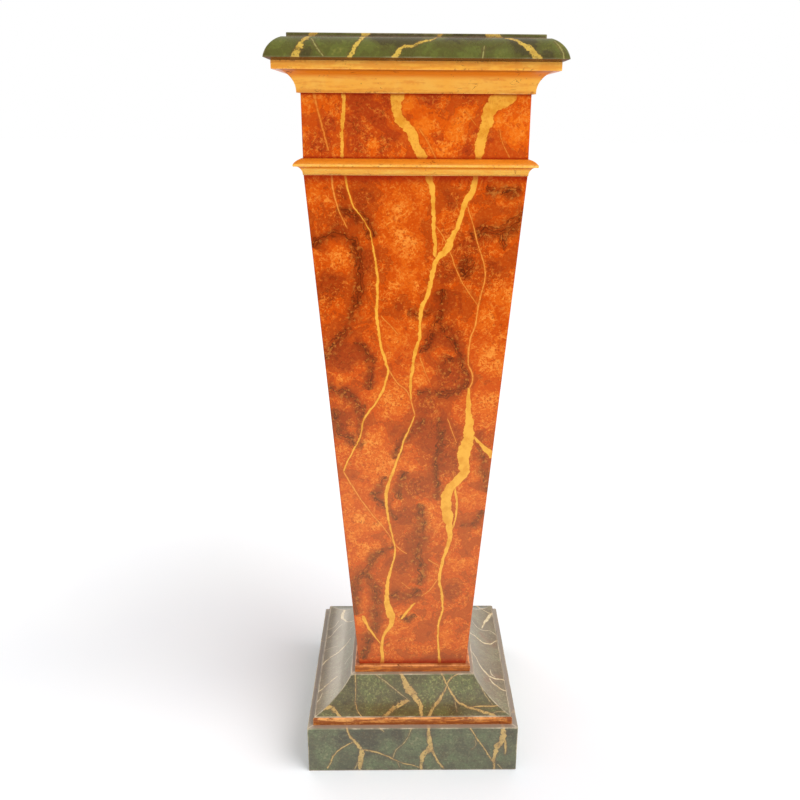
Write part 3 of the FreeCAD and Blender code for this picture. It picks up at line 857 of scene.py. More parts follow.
class Bench:
    """Adds nodes to one tree and joins them."""

    def __init__(self, tree: bpy.types.NodeTree) -> None:
        """Work on a tree."""
        self.tree = tree

    def add(self, kind: str, *given: Value, **settings: object) -> bpy.types.Node:
        """A new node of a kind, with its settings and what its first sockets get."""
        node = self.tree.nodes.new(f"ShaderNode{kind}")
        for name, value in settings.items():
            setattr(node, name, value)
        for socket, value in zip(node.inputs, given):
            self.feed(socket, value)
        return node

    def feed(self, socket: Socket, value: Value) -> None:
        """Join a socket to another one, or set its own value."""
        if isinstance(value, Socket):
            self.tree.links.new(value, socket)
        else:
            socket.default_value = value

    def work(self, operation: str, *values: Value, clamp: bool = False) -> Socket:
        """The result of a sum on numbers."""
        return self.add("Math", *values, operation=operation, use_clamp=clamp).outputs[0]

    plus = partialmethod(work, "ADD")
    minus = partialmethod(work, "SUBTRACT")
    times = partialmethod(work, "MULTIPLY")
    times_plus = partialmethod(work, "MULTIPLY_ADD")
    size = partialmethod(work, "ABSOLUTE")
    least = partialmethod(work, "MINIMUM")
    most = partialmethod(work, "MAXIMUM")

    def stretch(self, vector: Value, factors: tuple[float, float, float]) -> Socket:
        """A position with each of its parts multiplied."""
        return self.add("VectorMath", vector, factors, operation="MULTIPLY").outputs[0]

    def scale(self, vector: Value, factor: Value) -> Socket:
        """A vector multiplied by one number."""
        node = self.add("VectorMath", vector, operation="SCALE")
        self.feed(node.inputs["Scale"], factor)
        return node.outputs[0]

    def shift(self, vector: Value, other: Value) -> Socket:
        """The sum of two vectors."""
        return self.add("VectorMath", vector, other, operation="ADD").outputs[0]

    def noise(
        self, vector: Value, scale: float, detail: float = 2.0, rough: float = 0.5,
        twist: float = 0.0, output: int = 0,
    ) -> Socket:
        """A cloudy noise: output 0 is its value and output 1 its colour."""
        node = self.add("TexNoise", vector)
        settings = {"Scale": scale, "Detail": detail, "Roughness": rough, "Distortion": twist}
        for name, value in settings.items():
            node.inputs[name].default_value = value
        return node.outputs[output]

    def swing(self, *given: Value) -> Socket:
        """A cloudy noise, given as to noise, that swings about zero."""
        return self.minus(self.noise(*given), 0.5)

    def cells(self, vector: Value, scale: float) -> Socket:
        """The distance to the nearest middle in a pattern of cells."""
        node = self.add("TexVoronoi", vector, feature="F1")
        node.inputs["Scale"].default_value = scale
        return node.outputs["Distance"]

    def ease(
        self, value: Value, low: Value, high: Value, first: float = 0.0, last: float = 1.0
    ) -> Socket:
        """A smooth step from first at low to last at high."""
        given = value, low, high, first, last
        return self.add("MapRange", *given, interpolation_type="SMOOTHSTEP").outputs[0]

    def fade(self, value: Value, low: Value, high: Value) -> Socket:
        """A smooth step down from 1 at low to 0 at high."""
        return self.ease(value, low, high, 1.0, 0.0)

    def blend(self, factor: Value, under: Value, over: Value) -> Socket:
        """One colour laid over another."""
        node = self.add("Mix", factor, data_type="RGBA")
        for socket, value in zip((socket for socket in node.inputs if socket.type == "RGBA"), (under, over)):
            self.feed(socket, value)
        return next(socket for socket in node.outputs if socket.type == "RGBA")

    def glaze(self, mask: Value, amount: Value, under: Value, over: Value) -> Socket:
        """A colour laid over another through a mask, thinned to an amount."""
        return self.blend(self.times(mask, amount), under, over)

    def ramp(self, value: Value, *stops: tuple[float, tuple]) -> Socket:
        """A colour read off a scale of (place, colour) stops."""
        node = self.add("ValToRGB", value)
        marks = node.color_ramp.elements
        while len(marks) < len(stops):
            marks.new(1.0)
        for mark, (place, colour) in zip(marks, stops):
            mark.position = place
            mark.color = colour
        return node.outputs[0]

    def field(self, name: str, output: str = "Fac") -> Socket:
        """One of the painter's fields, read from the mesh."""
        return self.add("Attribute", attribute_name=name).outputs[output]

    def position(self) -> Socket:
        """The place on the piece."""
        return self.add("TexCoord").outputs["Object"]

    def facing(self) -> Socket:
        """How much the surface looks up: 1 is straight up and -1 straight down."""
        return self.add("SeparateXYZ", self.add("NewGeometry").outputs["Normal"]).outputs["Z"]


# An effect's draw function takes the bench, the position and the other inputs by name, and
# returns its outputs by name.
Draw = Callable[[Bench, Socket, Sockets], Sockets]
SOCKET_KINDS = {float: "NodeSocketFloat", tuple: "NodeSocketVector"}
OFF_LINE = (1.0, -1.0, 1.0)


class Effect:
    """A shared effect: a shader node group, built once and placed with each finish's values."""

    def __init__(self, name: str, draw: Draw, outputs: str, **inputs: float | tuple) -> None:
        """Describe the group.

        Args:
            name: the group's name.
            draw: builds its nodes from the position and its inputs, and gives its outputs.
            outputs: the names of its masks and values, with a space between them.
            inputs: each further input's first value; a tuple makes it a vector.
        """
        self.name = name
        self.draw = draw
        self.outputs = outputs.split()
        self.inputs = {"Position": (0.0, 0.0, 0.0), **inputs}

    @cache
    def build(self) -> bpy.types.NodeTree:
        """Build the group the first time that it is asked for."""
        tree = bpy.data.node_groups.new(self.name, "ShaderNodeTree")
        for name, value in self.inputs.items():
            kind = SOCKET_KINDS[type(value)]
            tree.interface.new_socket(name=name, in_out="INPUT", socket_type=kind).default_value = value
        for name in self.outputs:
            tree.interface.new_socket(name=name, in_out="OUTPUT", socket_type="NodeSocketFloat")
        given = {socket.name: socket for socket in tree.nodes.new("NodeGroupInput").outputs}
        result = tree.nodes.new("NodeGroupOutput")
        for name, socket in self.draw(Bench(tree), given.pop("Position"), given).items():
            tree.links.new(socket, result.inputs[name])
        return tree

    def place(self, bench: Bench, position: Value, **values: Value) -> Sockets:
        """Put the group into a material.

        Args:
            bench: the material's bench.
            position: the place on the piece.
            values: what its other inputs get.

        Returns:
            Its outputs by name.
        """
        node = bench.add("Group", node_tree=self.build())
        for name, value in {"Position": position, **values}.items():
            bench.feed(node.inputs[name], value)
        return {name: node.outputs[name] for name in self.outputs}


def draw_vein(bench: Bench, position: Socket, given: Sockets) -> Sockets:
    """A brushed vein with a ragged edge: its line wanders and its width swells and thins."""
    offset, width, distance = bench.add("SeparateXYZ", given["Line"]).outputs
    slow = bench.swing(position, 60, 2)
    quick = bench.swing(position, 210, 3, 0.6)
    wander = bench.times_plus(slow, 2.2, bench.times(quick, 0.6))
    moved = bench.times_plus(wander, given["Wander"], offset)
    swell = bench.noise(position, 85, 2, 0.6)
    wide = bench.times(width, bench.times_plus(swell, 1.2, 0.42))
    torn = bench.times(bench.least(width, 0.003), given["Ragged"])
    room = bench.minus(wide, bench.size(moved))
    room = bench.times_plus(quick, torn, room)
    near = bench.fade(distance, 0.012, 0.016)
    sponge = bench.fade(bench.noise(position, 260, 3, 0.65), 0.38, 0.47)
    whole = bench.minus(1.0, bench.times(sponge, given["Breaks"]))
    alive = bench.times(bench.ease(width, -0.0005, 0.0003), near)
    mask = bench.times(bench.ease(room, -0.0003, 0.0006), whole)
    return {
        "Mask": bench.times(mask, alive),
        "Shore": bench.times(bench.ease(room, -0.0030, 0.0), alive),
    }


PAINTED_VEIN = Effect(
    "painted_vein", draw_vein, "Mask Shore", Line=OFF_LINE, Wander=0.0012, Ragged=1.0, Breaks=0.0
)


def draw_mottle(bench: Bench, position: Socket, given: Sockets) -> Sockets:
    """A dabbed ground: broad clouds, a sponged grain, small flecks and curls left by the brush.

    A curl is a short piece of a noise's contour line, kept where another noise is high.
    """
    vector = bench.scale(position, given["Density"])
    broad = bench.noise(vector, 1.0, 5, 0.62, 0.8)
    sponge = bench.noise(position, 120, 5, 0.62, 0.5)
    fleck = bench.noise(position, 310, 2, 0.55, 0.6)
    curls = bench.most(
        contour_lines(bench, position, 58, 1.5, 0.030),
        contour_lines(bench, position, 92, 1.2, 0.040),
    )
    return {"Broad": broad, "Sponge": sponge, "Fleck": fleck, "Curls": curls}


def contour_lines(bench: Bench, position: Value, scale: float, twist: float, width: float) -> Socket:
    """Short pieces of a noise's middle contour."""
    off = bench.size(bench.swing(position, scale, 2, 0.5, twist))
    keep = bench.ease(bench.noise(position, scale * 1.15, 1), 0.50, 0.58)
    return bench.times(bench.fade(off, width * 0.3, width), keep)


MOTTLE = Effect("mottled_ground", draw_mottle, "Broad Sponge Fleck Curls", Density=14.0)


def draw_smoke(bench: Bench, position: Socket, given: Sockets) -> Sockets:
    """A smoky seam along its strokes.

    A broken dark line wanders about the stroke and two fainter ones run beside it, at its half
    width. Between them are small knots, pale dabs and a dark core, and round them a soft veil.
    """
    offset, width, distance = bench.add("SeparateXYZ", given["Line"]).outputs
    alive = bench.ease(width, 0.0, 0.0010)
    slow = bench.swing(position, 64, 2, 0.6)
    quick = bench.swing(position, 230, 2, 0.6)
    wander = bench.times_plus(slow, 0.026, bench.times(quick, 0.0022))
    moved = bench.size(bench.plus(offset, wander))
    around = bench.times_plus(slow, 0.022, distance)
    whole = bench.noise(position, 48, 3)
    spine = bench.times(bench.fade(moved, 0.0004, 0.0011), bench.ease(whole, 0.38, 0.48))
    beside = bench.size(bench.times_plus(width, -1.2, moved))
    rails = bench.times(bench.fade(beside, 0.0003, 0.0009), bench.ease(whole, 0.48, 0.56, 0.0, 0.8))
    band = bench.times(bench.fade(around, width, bench.times(width, 2.6)), alive)
    knots = contour_lines(bench, position, 150, 1.4, 0.09)
    near = bench.fade(distance, 0.010, 0.014)
    lines = bench.times(bench.most(spine, rails), bench.times(near, alive))
    core = bench.fade(around, bench.times(width, 0.3), bench.times(width, 1.7))
    dabs = bench.ease(bench.noise(position, 190, 3, 0.6), 0.54, 0.62)
    veil = bench.fade(around, bench.times(width, 0.5), bench.times(width, 4.6))
    return {
        "Veil": bench.times(veil, alive),
        "Lines": bench.most(lines, bench.times(bench.times(knots, band), 0.5)),
        "Core": bench.times(bench.times(core, alive), bench.ease(whole, 0.36, 0.52, 0.3, 1.0)),
        "Moss": bench.times(dabs, band),
        "Knots": knots,
    }


SMOKE = Effect("smoky_seam", draw_smoke, "Veil Lines Core Moss Knots", Line=OFF_LINE)


def draw_wear(bench: Bench, position: Socket, given: Sockets) -> Sockets:
    """A mask along the arrises for wear and painted highlights, and one in the nooks for painted shade, both
    in patches.
    """
    patchy = bench.ease(bench.noise(position, 26, 2), 0.42, 0.66)
    blur = bench.times(bench.swing(position, 160, 4, 0.7), 0.003)
    rub = bench.fade(bench.plus(given["Edge"], blur), 0.0, given["Rub"])
    return {
        "Worn": bench.times(rub, bench.times_plus(patchy, 0.75, 0.25)),
        "Dirt": bench.fade(bench.plus(given["Nook"], blur), 0.0, given["Settle"]),
    }


WEAR = Effect("edge_wear", draw_wear, "Worn Dirt", Edge=1.0, Nook=1.0, Rub=0.0016, Settle=0.003)


def draw_varnish(bench: Bench, position: Socket, given: Sockets) -> Sockets:
    """Satin varnish: handling smudges in the gloss, and brush lines and dust in the film."""
    streaks = bench.noise(bench.stretch(position, (1.0, 1.0, 0.06)), 620, 2)
    nibs = bench.noise(position, 900, 2, 0.6)
    uneven = bench.times_plus(bench.swing(position, 14, 3, 0.6), 0.28, given["Roughness"])
    return {
        "Roughness": bench.times_plus(bench.minus(streaks, 0.5), 0.08, uneven),
        "Height": bench.times_plus(nibs, 0.35, streaks),
    }


VARNISH = Effect("satin_varnish", draw_varnish, "Roughness Height", Roughness=0.35)


def draw_brush_marks(bench: Bench, position: Socket, given: Sockets) -> Sockets:
    """Stray dark brush marks: short bits of a noise's contour, kept where another is high."""
    off = bench.size(bench.swing(bench.stretch(position, (1.0, 1.0, 2.4)), 60, 2, 0.5, 0.6))
    keep = bench.ease(bench.noise(position, 46, 1), 0.60, 0.66)
    speck = bench.cells(position, 210)
    rare = bench.ease(bench.noise(position, 33, 2), 0.55, 0.70)
    return {
        "Marks": bench.times(bench.fade(off, 0.004, 0.022), keep),
        "Specks": bench.times(bench.fade(speck, 0.10, 0.22), rare),
    }


BRUSH_MARKS = Effect("stray_brush_marks", draw_brush_marks, "Marks Specks")


def draw_timber(bench: Bench, position: Socket, given: Sockets) -> Sockets:
    """Sawn softwood: growth rings cut along the grain, fibres and saw marks."""
    bend = bench.noise(position, 9, 2, output=1)
    warped = bench.shift(position, bench.scale(bend, 0.05))
    rings = bench.add("TexWave", warped, wave_type="RINGS", rings_direction="Z")
    rings.inputs["Scale"].default_value = 42.0
    rings.inputs["Distortion"].default_value = 2.0
    wood = rings.outputs["Fac"]
    fibre = bench.noise(position, 700, 3, 0.7)
    return {"Rings": wood, "Fibre": fibre, "Height": bench.times_plus(wood, 0.4, fibre)}


TIMBER = Effect("sawn_timber", draw_timber, "Rings Fibre Height")


# --- Finishes ---


def new_material(name: str) -> tuple[Material, Bench, bpy.types.Node]:
    """An empty material, its bench and its shader."""
    material = bpy.data.materials.new(name)
    material.use_nodes = True
    return material, Bench(material.node_tree), material.node_tree.nodes["Principled BSDF"]


@dataclass(frozen=True)
class Drawn:
    """What a finish gives its shader; relief is the bump's strength and its depth in metres.

    plain holds what is the same all over the surface.
    """

    colour: Socket
    roughness: Socket
    height: Socket
    relief: tuple[float, float]
    plain: dict[str, float]


@dataclass(frozen=True)
class Finish:
    """A finish of the column; each kind draws its own colour, roughness and height."""

    name: str

    @cache
    def material(self) -> Material:
        """Build the finish the first time that it is asked for."""
        material, bench, shader = new_material(self.name)
        drawn = self.draw(bench, bench.position())
        bump = bench.add("Bump")
        for socket, value in zip(("Height", "Strength", "Distance"), (drawn.height, *drawn.relief)):
            bench.feed(bump.inputs[socket], value)
        bench.feed(shader.inputs["Base Color"], drawn.colour)
        bench.feed(shader.inputs["Roughness"], drawn.roughness)
        bench.feed(shader.inputs["Normal"], bump.outputs[0])
        for socket, value in drawn.plain.items():
            shader.inputs[socket].default_value = value
        return material

    def draw(self, bench: Bench, position: Socket) -> Drawn:
        """What the surface shows at a place on the piece."""
        raise NotImplementedError


@dataclass(frozen=True)
class MarblePaint(Finish):
    """Faux marble, in colours as they are seen under the varnish.

    The ground's tones go from dark to pale: deep, low, ground, bright and light.
    """

    deep: tuple
    low: tuple
    ground: tuple
    bright: tuple
    light: tuple
    smoke: tuple
    veil: tuple
    moss: tuple
    vein: tuple
    vein_shade: tuple
    shore: tuple
    hair: tuple
    # The colour along the arrises is wear; on the green paints it is pale, partly a painted highlight.
    worn: tuple
    # The colour in the nooks is painted shade; on the green paints it is pale, a painted reflection on the
    # ledges.
    dirt: tuple
    # The paler tone towards the foot, below the given levels, is a painted sheen.
    haze: tuple
    haze_level: tuple[float, float]
    haze_strength: float
    density: float
    contrast: float
    patches: float
    curls: float
    flecks: float
    plain: float
    crackle: float
    ragged: float
    breaks: float
    # The tone of the faces that look up, and how much of it, is painted light and shade; on the marble
    # paints it is a painted sheen.
    upper: tuple
    upper_amount: float
    # The tone of the faces that look down is painted shade.
    under: tuple
    shore_amount: float
    # How far the painted shade reaches out of the nooks.
    settle: float
    rubbed: float
    specular: float
    coat: float
    roughness: float

    def draw(self, bench: Bench, position: Socket) -> Drawn:
        """Ground, smoke, hairs, veins, wear with painted light and shade, and varnish."""
        ground = self.ground_colour(bench, position)
        smoked = self.with_smoke(bench, position, ground)
        veined = self.with_veins(bench, position, smoked)
        aged = self.with_age(bench, position, veined)
        varnish = VARNISH.place(bench, position, Roughness=self.roughness)
        plain = {"Specular IOR Level": self.specular, "Coat Weight": self.coat, "Coat Roughness": 0.18}
        return Drawn(aged, varnish["Roughness"], varnish["Height"], (0.22, 0.00025), plain)

    def ground_colour(self, bench: Bench, position: Value) -> Socket:
        """The dabbed ground: plain patches of a few tones, stippled where the brush was busy."""
        mottle = MOTTLE.place(bench, position, Density=self.density)
        glow, shade = bench.field("glow"), bench.field("shade")
        lift = bench.times_plus(bench.minus(glow, shade), self.patches, 0.5)
        broad = bench.times(bench.minus(mottle["Broad"], 0.5), self.contrast)
        patchy = bench.ease(mottle["Broad"], 0.46, 0.56, 0.0, 0.6)
        busy = bench.plus(patchy, bench.times(glow, 0.5), clamp=True)
        coarse = bench.times_plus(busy, 1.0 - self.plain, self.plain)
        grain = bench.times(bench.minus(mottle["Sponge"], 0.5), coarse)
        tone = bench.plus(bench.plus(broad, grain), lift, clamp=True)
        colour = bench.ramp(
            tone, (0.10, self.deep), (0.32, self.deep), (0.37, self.low), (0.45, self.low),
            (0.49, self.ground), (0.60, self.ground), (0.66, self.bright), (0.82, self.bright),
            (1.0, self.light),
        )
        seam = bench.fade(bench.size(bench.minus(tone, 0.47)), 0.004, 0.020)
        colour = bench.glaze(seam, self.crackle, colour, self.veil)
        fresh = bench.times(bench.ease(tone, 0.2, 0.7, 0.5, 1.0), self.curls)
        colour = bench.glaze(mottle["Curls"], bench.times(fresh, coarse), colour, self.light)
        pale = bench.ease(mottle["Fleck"], 0.56, 0.64, 0.0, self.flecks)
        colour = bench.glaze(pale, coarse, colour, self.light)
        dark = bench.ease(mottle["Fleck"], 0.36, 0.44, self.flecks, 0.0)
        return bench.glaze(dark, coarse, colour, self.deep)

    def with_smoke(self, bench: Bench, position: Value, under: Value) -> Socket:
        """The dark seams over the ground, and small dark knots in the shade patches."""
        smoke = SMOKE.place(bench, position, Line=bench.field("smoke", "Vector"))
        colour = bench.glaze(smoke["Veil"], 0.7, under, self.veil)
        colour = bench.glaze(smoke["Core"], 0.34, colour, self.smoke)
        colour = bench.glaze(smoke["Moss"], 0.55, colour, self.moss)
        shaded = bench.ease(bench.field("shade"), 0.3, 0.8, 0.0, self.crackle)
        lines = bench.most(smoke["Lines"], bench.times(smoke["Knots"], shaded))
        return bench.glaze(lines, 0.84, colour, self.smoke)

    def with_veins(self, bench: Bench, position: Value, under: Value) -> Socket:
        """The vein layers, the finest first and the boldest last."""
        colour = under
        tint = bench.noise(position, 75, 4, 0.6)
        thick = bench.blend(bench.ease(tint, 0.42, 0.68), self.vein, self.vein_shade)
        for layer in reversed(VEIN_LAYERS):
            fine = layer in ("hair", "cross")
            vein = PAINTED_VEIN.place(
                bench, position, Line=bench.field(layer, "Vector"), Ragged=self.ragged,
                Wander=0.0011 if fine else 0.0022,
                Breaks=max(self.breaks, 0.5) if fine else self.breaks,
            )
            colour = bench.glaze(vein["Shore"], self.shore_amount, colour, self.shore)
            over, cover = (self.hair, 0.75) if fine else (thick, 0.9)
            colour = bench.glaze(vein["Mask"], cover, colour, over)
        return colour

    def with_age(self, bench: Bench, position: Value, under: Value) -> Socket:
        """Painted light and shade laid over the paint, and wear.

        A painted sheen pales the paint towards the foot and on flat faces that look up. The nooks get
        painted shade, pale as a painted reflection on the green paints. The arrises get wear, pale
        as a painted highlight on the green paints, and faces that look down get painted shade.
        """
        wear = WEAR.place(
            bench, position, Edge=bench.field("edge"), Nook=bench.field("nook"), Rub=0.0021,
            Settle=self.settle,
        )
        facing = bench.facing()
        height = bench.add("SeparateXYZ", position).outputs["Z"]
        # A painted sheen, paler towards the foot.
        high, low = self.haze_level
        colour = bench.blend(bench.ease(height, low, high, self.haze_strength, 0.0), under, self.haze)
        # A painted sheen on the flat faces that look up.
        dusty = bench.ease(facing, 0.990, 0.998, 0.0, self.upper_amount)
        colour = bench.blend(dusty, colour, self.upper)
        # Painted shade in the nooks, pale as a painted reflection on the green paints.
        colour = bench.glaze(wear["Dirt"], 0.7, colour, self.dirt)
        # Wear along the arrises, pale as a painted highlight on the green paints.
        colour = bench.glaze(wear["Worn"], self.rubbed, colour, self.worn)
        # Painted shade on the faces that look down.
        return bench.blend(bench.ease(facing, -0.7, -0.4, 0.9, 0.0), colour, self.under)


@dataclass(frozen=True)
class OchrePaint(Finish):
    """Plain ochre on the mouldings, glazed unevenly, with stray brush marks.

    The tone of the faces that look up is painted light and shade, paler or darker by how light
    falls on them, and that of the faces that look down is painted shade.
    """

    base: tuple
    pale: tuple
    # The tones of the faces that look up and down are painted light and shade.
    upper: tuple
    lower: tuple
    glaze: tuple
    marks: tuple
    # The pale colour along the arrises is wear and partly a painted highlight.
    worn: tuple
    # The dark colour in the nooks is painted shade.
    dirt: tuple
    glaze_amount: float
    upright: float
    run_down: float
    mark_amount: float
    chips: float
    # How far the painted shade reaches out of the nooks.
    settle: float
    specular: float
    roughness: float

    def draw(self, bench: Bench, position: Socket) -> Drawn:
        """Painted light and shade, glaze in long streaks, marks, wear, chips and varnish."""
        edge, facing = bench.field("edge"), bench.facing()
        cloud = bench.noise(position, 22, 4, 0.6, 0.5)
        colour = bench.blend(bench.ease(cloud, 0.38, 0.64), self.base, self.pale)
        # Painted light and shade: faces that look up take a tone paler or darker by how light falls on them,
        # and faces that look down a painted shade.
        colour = bench.blend(bench.ease(facing, 0.15, 0.8), colour, self.upper)
        colour = bench.blend(bench.fade(facing, -0.82, -0.52), colour, self.lower)
        amount = bench.ease(self.glaze_weight(bench, position, edge, facing), 0.44, 0.60)
        colour = bench.glaze(amount, self.glaze_amount, colour, self.glaze)
        for marks in BRUSH_MARKS.place(bench, position).values():
            colour = bench.glaze(marks, self.mark_amount, colour, self.marks)
        wear = WEAR.place(
            bench, position, Edge=edge, Nook=bench.field("nook"), Rub=0.0012, Settle=self.settle
        )
        # Painted shade in the nooks.
        colour = bench.glaze(wear["Dirt"], 0.7, colour, self.dirt)
        # Wear along the arrises, pale as a painted highlight.
        colour = bench.glaze(wear["Worn"], 0.6, colour, self.worn)
        chipped = bench.ease(bench.noise(position, 260, 4, 0.7), 0.52, 0.60)
        stretches = bench.ease(bench.noise(position, 24, 2), 0.46, 0.60, 0.0, self.chips)
        along = bench.times(bench.fade(edge, 0.0008, 0.0030), stretches)
        colour = bench.glaze(chipped, along, colour, self.marks)
        varnish = VARNISH.place(bench, position, Roughness=self.roughness)
        plain = {"Specular IOR Level": self.specular}
        return Drawn(colour, varnish["Roughness"], varnish["Height"], (0.25, 0.0003), plain)

    def glaze_weight(self, bench: Bench, position: Socket, edge: Socket, facing: Socket) -> Socket:
        """Where the glaze gathered: in streaks, more on upright faces and by the lower edges."""
        streak = bench.noise(bench.stretch(position, (0.12, 0.12, 1.0)), 260, 3, 0.6)
        fine = bench.noise(position, 190, 5, 0.7)
        heavy = bench.times_plus(fine, 0.3, bench.times(streak, 0.7))
        heavy = bench.plus(heavy, bench.ease(bench.size(facing), 0.04, 0.12, self.upright, -self.upright))
        return bench.times_plus(bench.ease(edge, 0.002, 0.010, self.run_down, 0.0), 0.16, heavy)


class Grain(Enum):
    """The ways that a board's grain runs, each with the turn that brings Z to it."""

    ACROSS = (0.0, math.pi / 2, 0.0)
    UPRIGHT = (0.0, 0.0, 0.0)


@dataclass(frozen=True)
class BarePine(Finish):
    """Unpainted softwood."""

    along: Grain
    early: tuple = paint(221, 184, 132)
    late: tuple = paint(184, 132, 78)
    fleck: tuple = paint(148, 104, 62)

    def draw(self, bench: Bench, position: Socket) -> Drawn:
        """Rings, fibres and a sawn surface."""
        turn = bench.add("Mapping", position)
        turn.inputs["Rotation"].default_value = self.along.value
        timber = TIMBER.place(bench, bench.stretch(turn.outputs[0], (1.0, 1.0, 0.07)))
        colour = bench.blend(bench.ease(timber["Rings"], 0.25, 0.95), self.early, self.late)
        colour = bench.blend(bench.ease(timber["Fibre"], 0.55, 0.75, 0.0, 0.45), colour, self.fleck)
        rough = bench.ease(timber["Fibre"], 0.3, 0.7, 0.62, 0.82)
        return Drawn(colour, rough, timber["Height"], (0.35, 0.0004), {"Specular IOR Level": 0.3})


@dataclass(frozen=True)
class ScrewSteel(Finish):
    """Zinc-plated steel of the screws and pins."""

    bright: tuple = paint(196, 198, 200)
    dull: tuple = paint(128, 126, 120)

    def draw(self, bench: Bench, position: Socket) -> Drawn:
        """Plating gone dull in spots, with turning lines."""
        spots = bench.noise(position, 240, 4, 0.7)
        lines = bench.noise(bench.stretch(position, (1.0, 1.0, 9.0)), 500, 2)
        colour = bench.blend(bench.ease(spots, 0.42, 0.68), self.bright, self.dull)
        rough = bench.ease(spots, 0.35, 0.7, 0.28, 0.55)
        return Drawn(colour, rough, lines, (0.2, 0.0001), {"Metallic": 1.0})


# The paler, greener tone low on the shaft is a painted sheen, and the deep red in the nooks, under the neck
# and above the foot bead, is painted shade.
RED_MARBLE = MarblePaint(
    name="red_marble", deep=paint(168, 60, 6), low=paint(188, 72, 6), ground=paint(209, 80, 2),
    bright=paint(224, 98, 12), light=paint(248, 150, 56), smoke=paint(96, 32, 0), veil=paint(150, 52, 4),
    moss=paint(206, 126, 50), vein=paint(252, 184, 66), vein_shade=paint(234, 158, 46),
    shore=paint(200, 88, 14), hair=paint(250, 164, 66), worn=paint(170, 74, 34), dirt=paint(150, 14, 0),
    haze=paint(236, 244, 196), haze_level=(0.76, 0.40), haze_strength=0.068, density=24.0, contrast=1.0,
    patches=0.28, curls=0.85, flecks=0.65, plain=0.18, crackle=0.5, ragged=1.2, breaks=0.0,
    upper=paint(182, 66, 6), upper_amount=0.0, under=paint(120, 44, 10), shore_amount=0.45, settle=0.013,
    rubbed=0.7, specular=0.05, coat=0.0, roughness=0.34,
)

FRIEZE_MARBLE = replace(
    RED_MARBLE, name="red_marble_frieze", deep=paint(180, 64, 14), low=paint(202, 78, 12),
    ground=paint(224, 92, 6), bright=paint(238, 114, 18), veil=paint(160, 62, 12), density=22.0,
    patches=0.34, hair=paint(240, 146, 54), ragged=1.9, breaks=0.25, settle=0.004,
)

# The pale tone of flat faces that look up and of the nooks is a painted reflection. The pale arrises are
# partly a painted highlight, and the dark brown of faces that look down, the bevel under the overhang, is
# painted shade.
SLAB_MARBLE = MarblePaint(
    name="green_marble", deep=paint(68, 60, 18), low=paint(82, 77, 22), ground=paint(86, 85, 26),
    bright=paint(94, 97, 32), light=paint(136, 130, 54), smoke=paint(98, 78, 42), veil=paint(96, 84, 44),
    moss=paint(120, 116, 60), vein=paint(218, 180, 74), vein_shade=paint(184, 142, 50),
    shore=paint(100, 76, 34), hair=paint(164, 158, 90), worn=paint(196, 178, 140), dirt=paint(140, 116, 98),
    haze=paint(255, 255, 255), haze_level=(0.30, 0.20), haze_strength=0.0, density=20.0, contrast=1.3,
    patches=0.36, curls=0.15, flecks=0.2, plain=0.4, crackle=0.15, ragged=2.9, breaks=0.65,
    upper=paint(120, 112, 84), upper_amount=0.35, under=paint(104, 62, 24), shore_amount=0.5, settle=0.003,
    rubbed=0.4, specular=0.25, coat=0.0, roughness=0.26,
)

# The pale tone of flat faces that look up and of the nooks is a painted reflection, and the pale colour
# along the arrises and mitres is partly a painted highlight.
BASE_MARBLE = replace(
    SLAB_MARBLE, name="green_marble_base", deep=paint(74, 66, 38), low=paint(88, 82, 48),
    ground=paint(95, 93, 53), bright=paint(98, 101, 56), light=paint(150, 146, 88), veil=paint(98, 74, 52),
    vein=paint(202, 168, 98), vein_shade=paint(166, 130, 74), shore=paint(104, 80, 54),
    hair=paint(176, 156, 102), worn=paint(206, 190, 160), dirt=paint(132, 106, 88), contrast=1.0,
    patches=0.13, curls=0.35, flecks=0.7, crackle=0.3, ragged=2.4, breaks=0.7, rubbed=0.95,
    upper=paint(168, 148, 132), upper_amount=0.7, specular=0.5, coat=0.4, roughness=0.34,
)

# The cavetto's left and right lengths: a paler, browner copy of the base's marble that paints in the sheen
# those slopes show at a slant.
SIDE_MARBLE = replace(
    BASE_MARBLE, name="green_marble_sides", deep=paint(104, 88, 60), low=paint(116, 100, 70),
    ground=paint(122, 110, 78), bright=paint(124, 118, 84), light=paint(156, 146, 106),
    smoke=paint(112, 84, 54), veil=paint(132, 102, 70), vein=paint(222, 204, 158),
    vein_shade=paint(200, 172, 120), shore=paint(128, 106, 76), hair=paint(212, 198, 160), breaks=0.4,
)

# The pale colour in the nooks is a painted reflection on the ledge.
PLINTH_MARBLE = replace(
    BASE_MARBLE, name="green_marble_plinth", deep=paint(74, 69, 50), low=paint(84, 84, 60),
    ground=paint(92, 95, 66), bright=paint(97, 105, 71), light=paint(134, 130, 94),
    dirt=paint(164, 122, 104), contrast=1.4, patches=0.2, curls=0.3, flecks=0.6,
)

# The darker tone of faces that look down and the dark brown in the nooks are painted shade under the fillet
# and the slab.
CORNICE_OCHRE = OchrePaint(
    name="cornice_ochre", base=paint(255, 178, 54), pale=paint(255, 188, 70), upper=paint(229, 140, 34),
    lower=paint(224, 124, 20), glaze=paint(226, 124, 20), marks=paint(132, 56, 12),
    worn=paint(254, 206, 120), dirt=paint(150, 70, 10), glaze_amount=0.5, upright=0.05, run_down=0.0,
    mark_amount=0.8, chips=0.6, settle=0.007, specular=0.3, roughness=0.34,
)

# The darker tone of the roll, which looks up, is painted shade.
NECK_OCHRE = replace(
    CORNICE_OCHRE, name="neck_ochre", base=paint(255, 188, 66), pale=paint(255, 196, 80),
    upper=paint(220, 126, 28), glaze=paint(244, 152, 40), upright=0.0, chips=0.4, settle=0.003,
)

